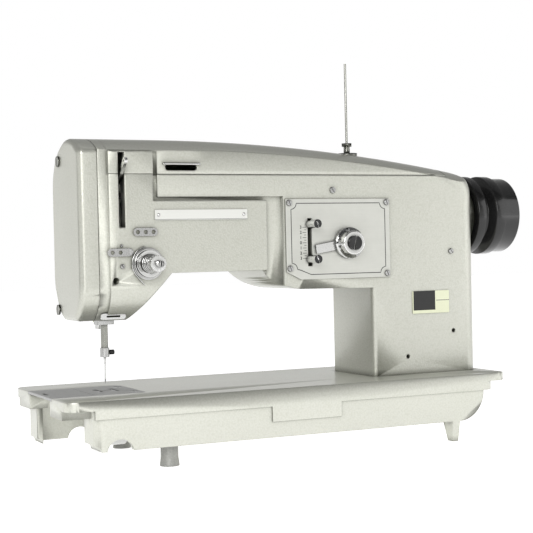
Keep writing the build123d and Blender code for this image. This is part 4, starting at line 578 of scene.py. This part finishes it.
wheel_low, wheel_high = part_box("handwheel")
wheel_radius, wheel_length = (wheel_high[2] - wheel_low[2]) / 2, wheel_high[0] - wheel_low[0]
wheel_middle = (wheel_high[2] + wheel_low[2]) / 2
bore = 0.007
# outline as distance from the column side and distance from the shaft's axis, in millimetres
rim, drum = 1000 * wheel_radius, 1000 * wheel_length
wheel_outline = [
    (0, 7), (0, 18), (16, 20), (16, 29), (0, 34), (0, rim), (9.5, rim), (10.5, rim - 2), (14, 33), (19, 33),
    (23, rim - 2), (24, rim), (35.5, rim), (35.5, 41), (drum - 2.5, 41), (drum, 37.5), (drum, 33),
    (drum - 4, 26), (drum - 4, 15), (drum - 1, 13), (drum - 1, 7),
]
wheel = grown("handwheel_turned", turning_tree(), {"Bore": bore, "Enamel": wheel_enamel},
              Matrix.Translation((wheel_low[0], 0, wheel_middle)) @ Matrix.Rotation(pi / 2, 4, "Y"),
              "main_shaft",
              [(out / 1000 - bore, -along / 1000) for along, out in wheel_outline])
shell = bmesh.new()
shell.from_mesh(wheel.data)
bmesh.ops.remove_doubles(shell, verts=shell.verts, dist=0.000002)
bmesh.ops.recalc_face_normals(shell, faces=shell.faces)
shell.to_mesh(wheel.data)
shell.free()
for side in wheel.data.polygons:
    side.use_smooth = True
wheel.data.set_sharp_from_angle(angle=radians(40))
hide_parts("handwheel")
print("wheel", len(wheel.data.polygons), "faces")

# %% [markdown]
# ## Numbers on the scale
# Plain figures count the stitch width up and down from the middle. Each is a text curve turned into a mesh, so
# that its place can be applied to its points and its object can stay at the origin like every other piece.


# %% Scale numbers
def figure(name, text, x, z, height):
    curve = bpy.data.curves.new(name, "FONT")
    curve.body = text
    curve.size = height
    curve.offset = 0.00010
    curve.align_x = "RIGHT"
    curve.align_y = "CENTER"
    holder = bpy.data.objects.new(name + "_curve", curve)
    bpy.context.scene.collection.objects.link(holder)
    mesh = bpy.data.meshes.new_from_object(holder.evaluated_get(bpy.context.evaluated_depsgraph_get()))
    bpy.data.objects.remove(holder)
    mesh.transform(Matrix.Translation((x, ink_y, z)) @ Matrix.Rotation(pi / 2, 4, "X"))
    mesh.materials.clear()
    mesh.materials.append(engraving_ink)
    piece = bpy.data.objects.new(name, mesh)
    bpy.context.scene.collection.objects.link(piece)
    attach(piece, "machine")


for step in range(-3, 4):
    figure(f"scale_number_{step + 3}", str(abs(step)), slot_x - 0.0092,
           scale_mid + step * 2 * tick_step, 0.0042)

# %% [markdown]
# ## Floor, light and camera
# Glossy pale enamel shows its shape by what it mirrors, so the room is a light tent: bright near the horizon
# between two black flags, and dim overhead. Seen almost level, the bed's top mirrors the bright side and the
# crown's shoulder the dim one. A broad lamp from the left front shapes the head, and the floor glows a little.

# %% Floor
def pale_floor():
    finish = Finish("pale_floor", Emission_Strength=0.85)
    cloud = finish.noise(2, 2.0)
    finish.drive(Base_Color=finish.between(cloud * 0.2, grey(0.90), grey(0.86)), Roughness=0.7 + cloud * 0.1)
    bpy.ops.mesh.primitive_plane_add(size=12, location=(0, 0, -0.0005))
    floor = bpy.context.object
    floor.name = "floor"
    floor.data.materials.append(finish.material)


pale_floor()


# %% Lights
def lamp(name, spot, aim, width, power):
    light = bpy.data.lights.new(name, "AREA")
    light.shape = "RECTANGLE"
    light.size, light.size_y = width
    light.energy = power
    holder = bpy.data.objects.new(name, light)
    holder.location = spot
    holder.rotation_euler = (Vector(aim) - Vector(spot)).to_track_quat("-Z", "Y").to_euler()
    bpy.context.scene.collection.objects.link(holder)


def white_room():
    """White where the camera looks past the machine; as light, bright near the horizon and dim overhead."""
    world = bpy.data.worlds.new("white_room")
    world.use_nodes = True
    nodes, links = world.node_tree.nodes, world.node_tree.links
    backdrop, room = nodes["Background"], nodes.new("ShaderNodeBackground")
    both = nodes.new("ShaderNodeMixShader")
    backdrop.inputs["Color"].default_value = (1, 1, 1, 1)
    spot, up = nodes.new("ShaderNodeTexCoord"), nodes.new("ShaderNodeSeparateXYZ")
    links.new(spot.outputs["Generated"], up.inputs[0])
    half = nodes.new("ShaderNodeMath")
    half.operation = "MULTIPLY_ADD"
    half.inputs[1].default_value, half.inputs[2].default_value = 0.5, 0.5
    links.new(up.outputs["Z"], half.inputs[0])
    ramp = nodes.new("ShaderNodeValToRGB")
    links.new(half.outputs[0], ramp.inputs["Fac"])
    stops = ramp.color_ramp.elements
    stops[0].position, stops[0].color = 0.0, (0.7, 0.7, 0.69, 1)
    stops[1].position, stops[1].color = 1.0, (0.16, 0.16, 0.165, 1)
    for height, shade in ((0.5, 1.0), (0.58, 0.86), (0.68, 0.34)):
        stops.new(height).color = (shade, shade, shade * 0.985, 1)
    # black flags stand between the white walls, and give bright metal its dark edges
    around = nodes.new("ShaderNodeMath")
    around.operation = "ARCTAN2"
    links.new(up.outputs["X"], around.inputs[0])
    links.new(up.outputs["Y"], around.inputs[1])
    turn = nodes.new("ShaderNodeMath")
    turn.operation = "MULTIPLY_ADD"
    turn.inputs[1].default_value, turn.inputs[2].default_value = 0.5 / pi, 0.5
    links.new(around.outputs[0], turn.inputs[0])
    flags = nodes.new("ShaderNodeValToRGB")
    links.new(turn.outputs[0], flags.inputs["Fac"])
    walls = flags.color_ramp.elements
    walls[0].position, walls[0].color = 0.0, (1, 1, 1, 1)
    walls[1].position, walls[1].color = 1.0, (1, 1, 1, 1)
    for place, shade in ((0.10, 1.0), (0.13, 0.06), (0.19, 0.06), (0.22, 1.0), (0.80, 1.0), (0.83, 0.06),
                         (0.88, 0.06), (0.91, 1.0)):
        walls.new(place).color = (shade, shade, shade, 1)
    shaded = nodes.new("ShaderNodeMix")
    shaded.data_type, shaded.blend_type = "RGBA", "MULTIPLY"
    shaded.inputs[0].default_value = 1.0
    links.new(ramp.outputs["Color"], shaded.inputs[6])
    links.new(flags.outputs["Color"], shaded.inputs[7])
    links.new(shaded.outputs[2], room.inputs["Color"])
    room.inputs["Strength"].default_value = 1.1
    sight = nodes.new("ShaderNodeLightPath")
    links.new(sight.outputs["Is Camera Ray"], both.inputs["Fac"])
    links.new(room.outputs[0], both.inputs[1])
    links.new(backdrop.outputs[0], both.inputs[2])
    links.new(both.outputs[0], nodes["World Output"].inputs["Surface"])
    bpy.context.scene.world = world


white_room()
lamp("key", (-1.0, -1.5, 0.9), (0, 0, 0.15), (1.2, 0.8), 22)
lamp("fill", (1.4, -1.0, 0.6), (0.05, 0, 0.2), (0.9, 1.2), 6)
lamp("top", (0.1, 0.4, 1.7), (0, 0, 0.2), (1.6, 0.9), 2)
bpy.context.scene.view_settings.view_transform = "Standard"
bpy.context.scene.view_settings.look = "None"

# %% Camera
yaw, pitch, roll = radians(25.37075), radians(0.7426), radians(-1.2818)
forward = Vector((sin(yaw) * cos(pitch), cos(yaw) * cos(pitch), -sin(pitch)))
level_right = Vector((cos(yaw), -sin(yaw), 0))
level_up = level_right.cross(forward)
right = level_right * cos(roll) + level_up * sin(roll)
up = level_up * cos(roll) - level_right * sin(roll)
camera = bpy.data.objects.new("camera", bpy.data.cameras.new("camera"))
camera.data.sensor_width = 36
camera.data.lens = 90.27
camera.data.clip_end = 30
camera.matrix_world = Matrix((
    (right.x, up.x, -forward.x, -0.62004), (right.y, up.y, -forward.y, -1.25574),
    (right.z, up.z, -forward.z, 0.20339), (0, 0, 0, 1)))
bpy.context.scene.collection.objects.link(camera)
bpy.context.scene.camera = camera
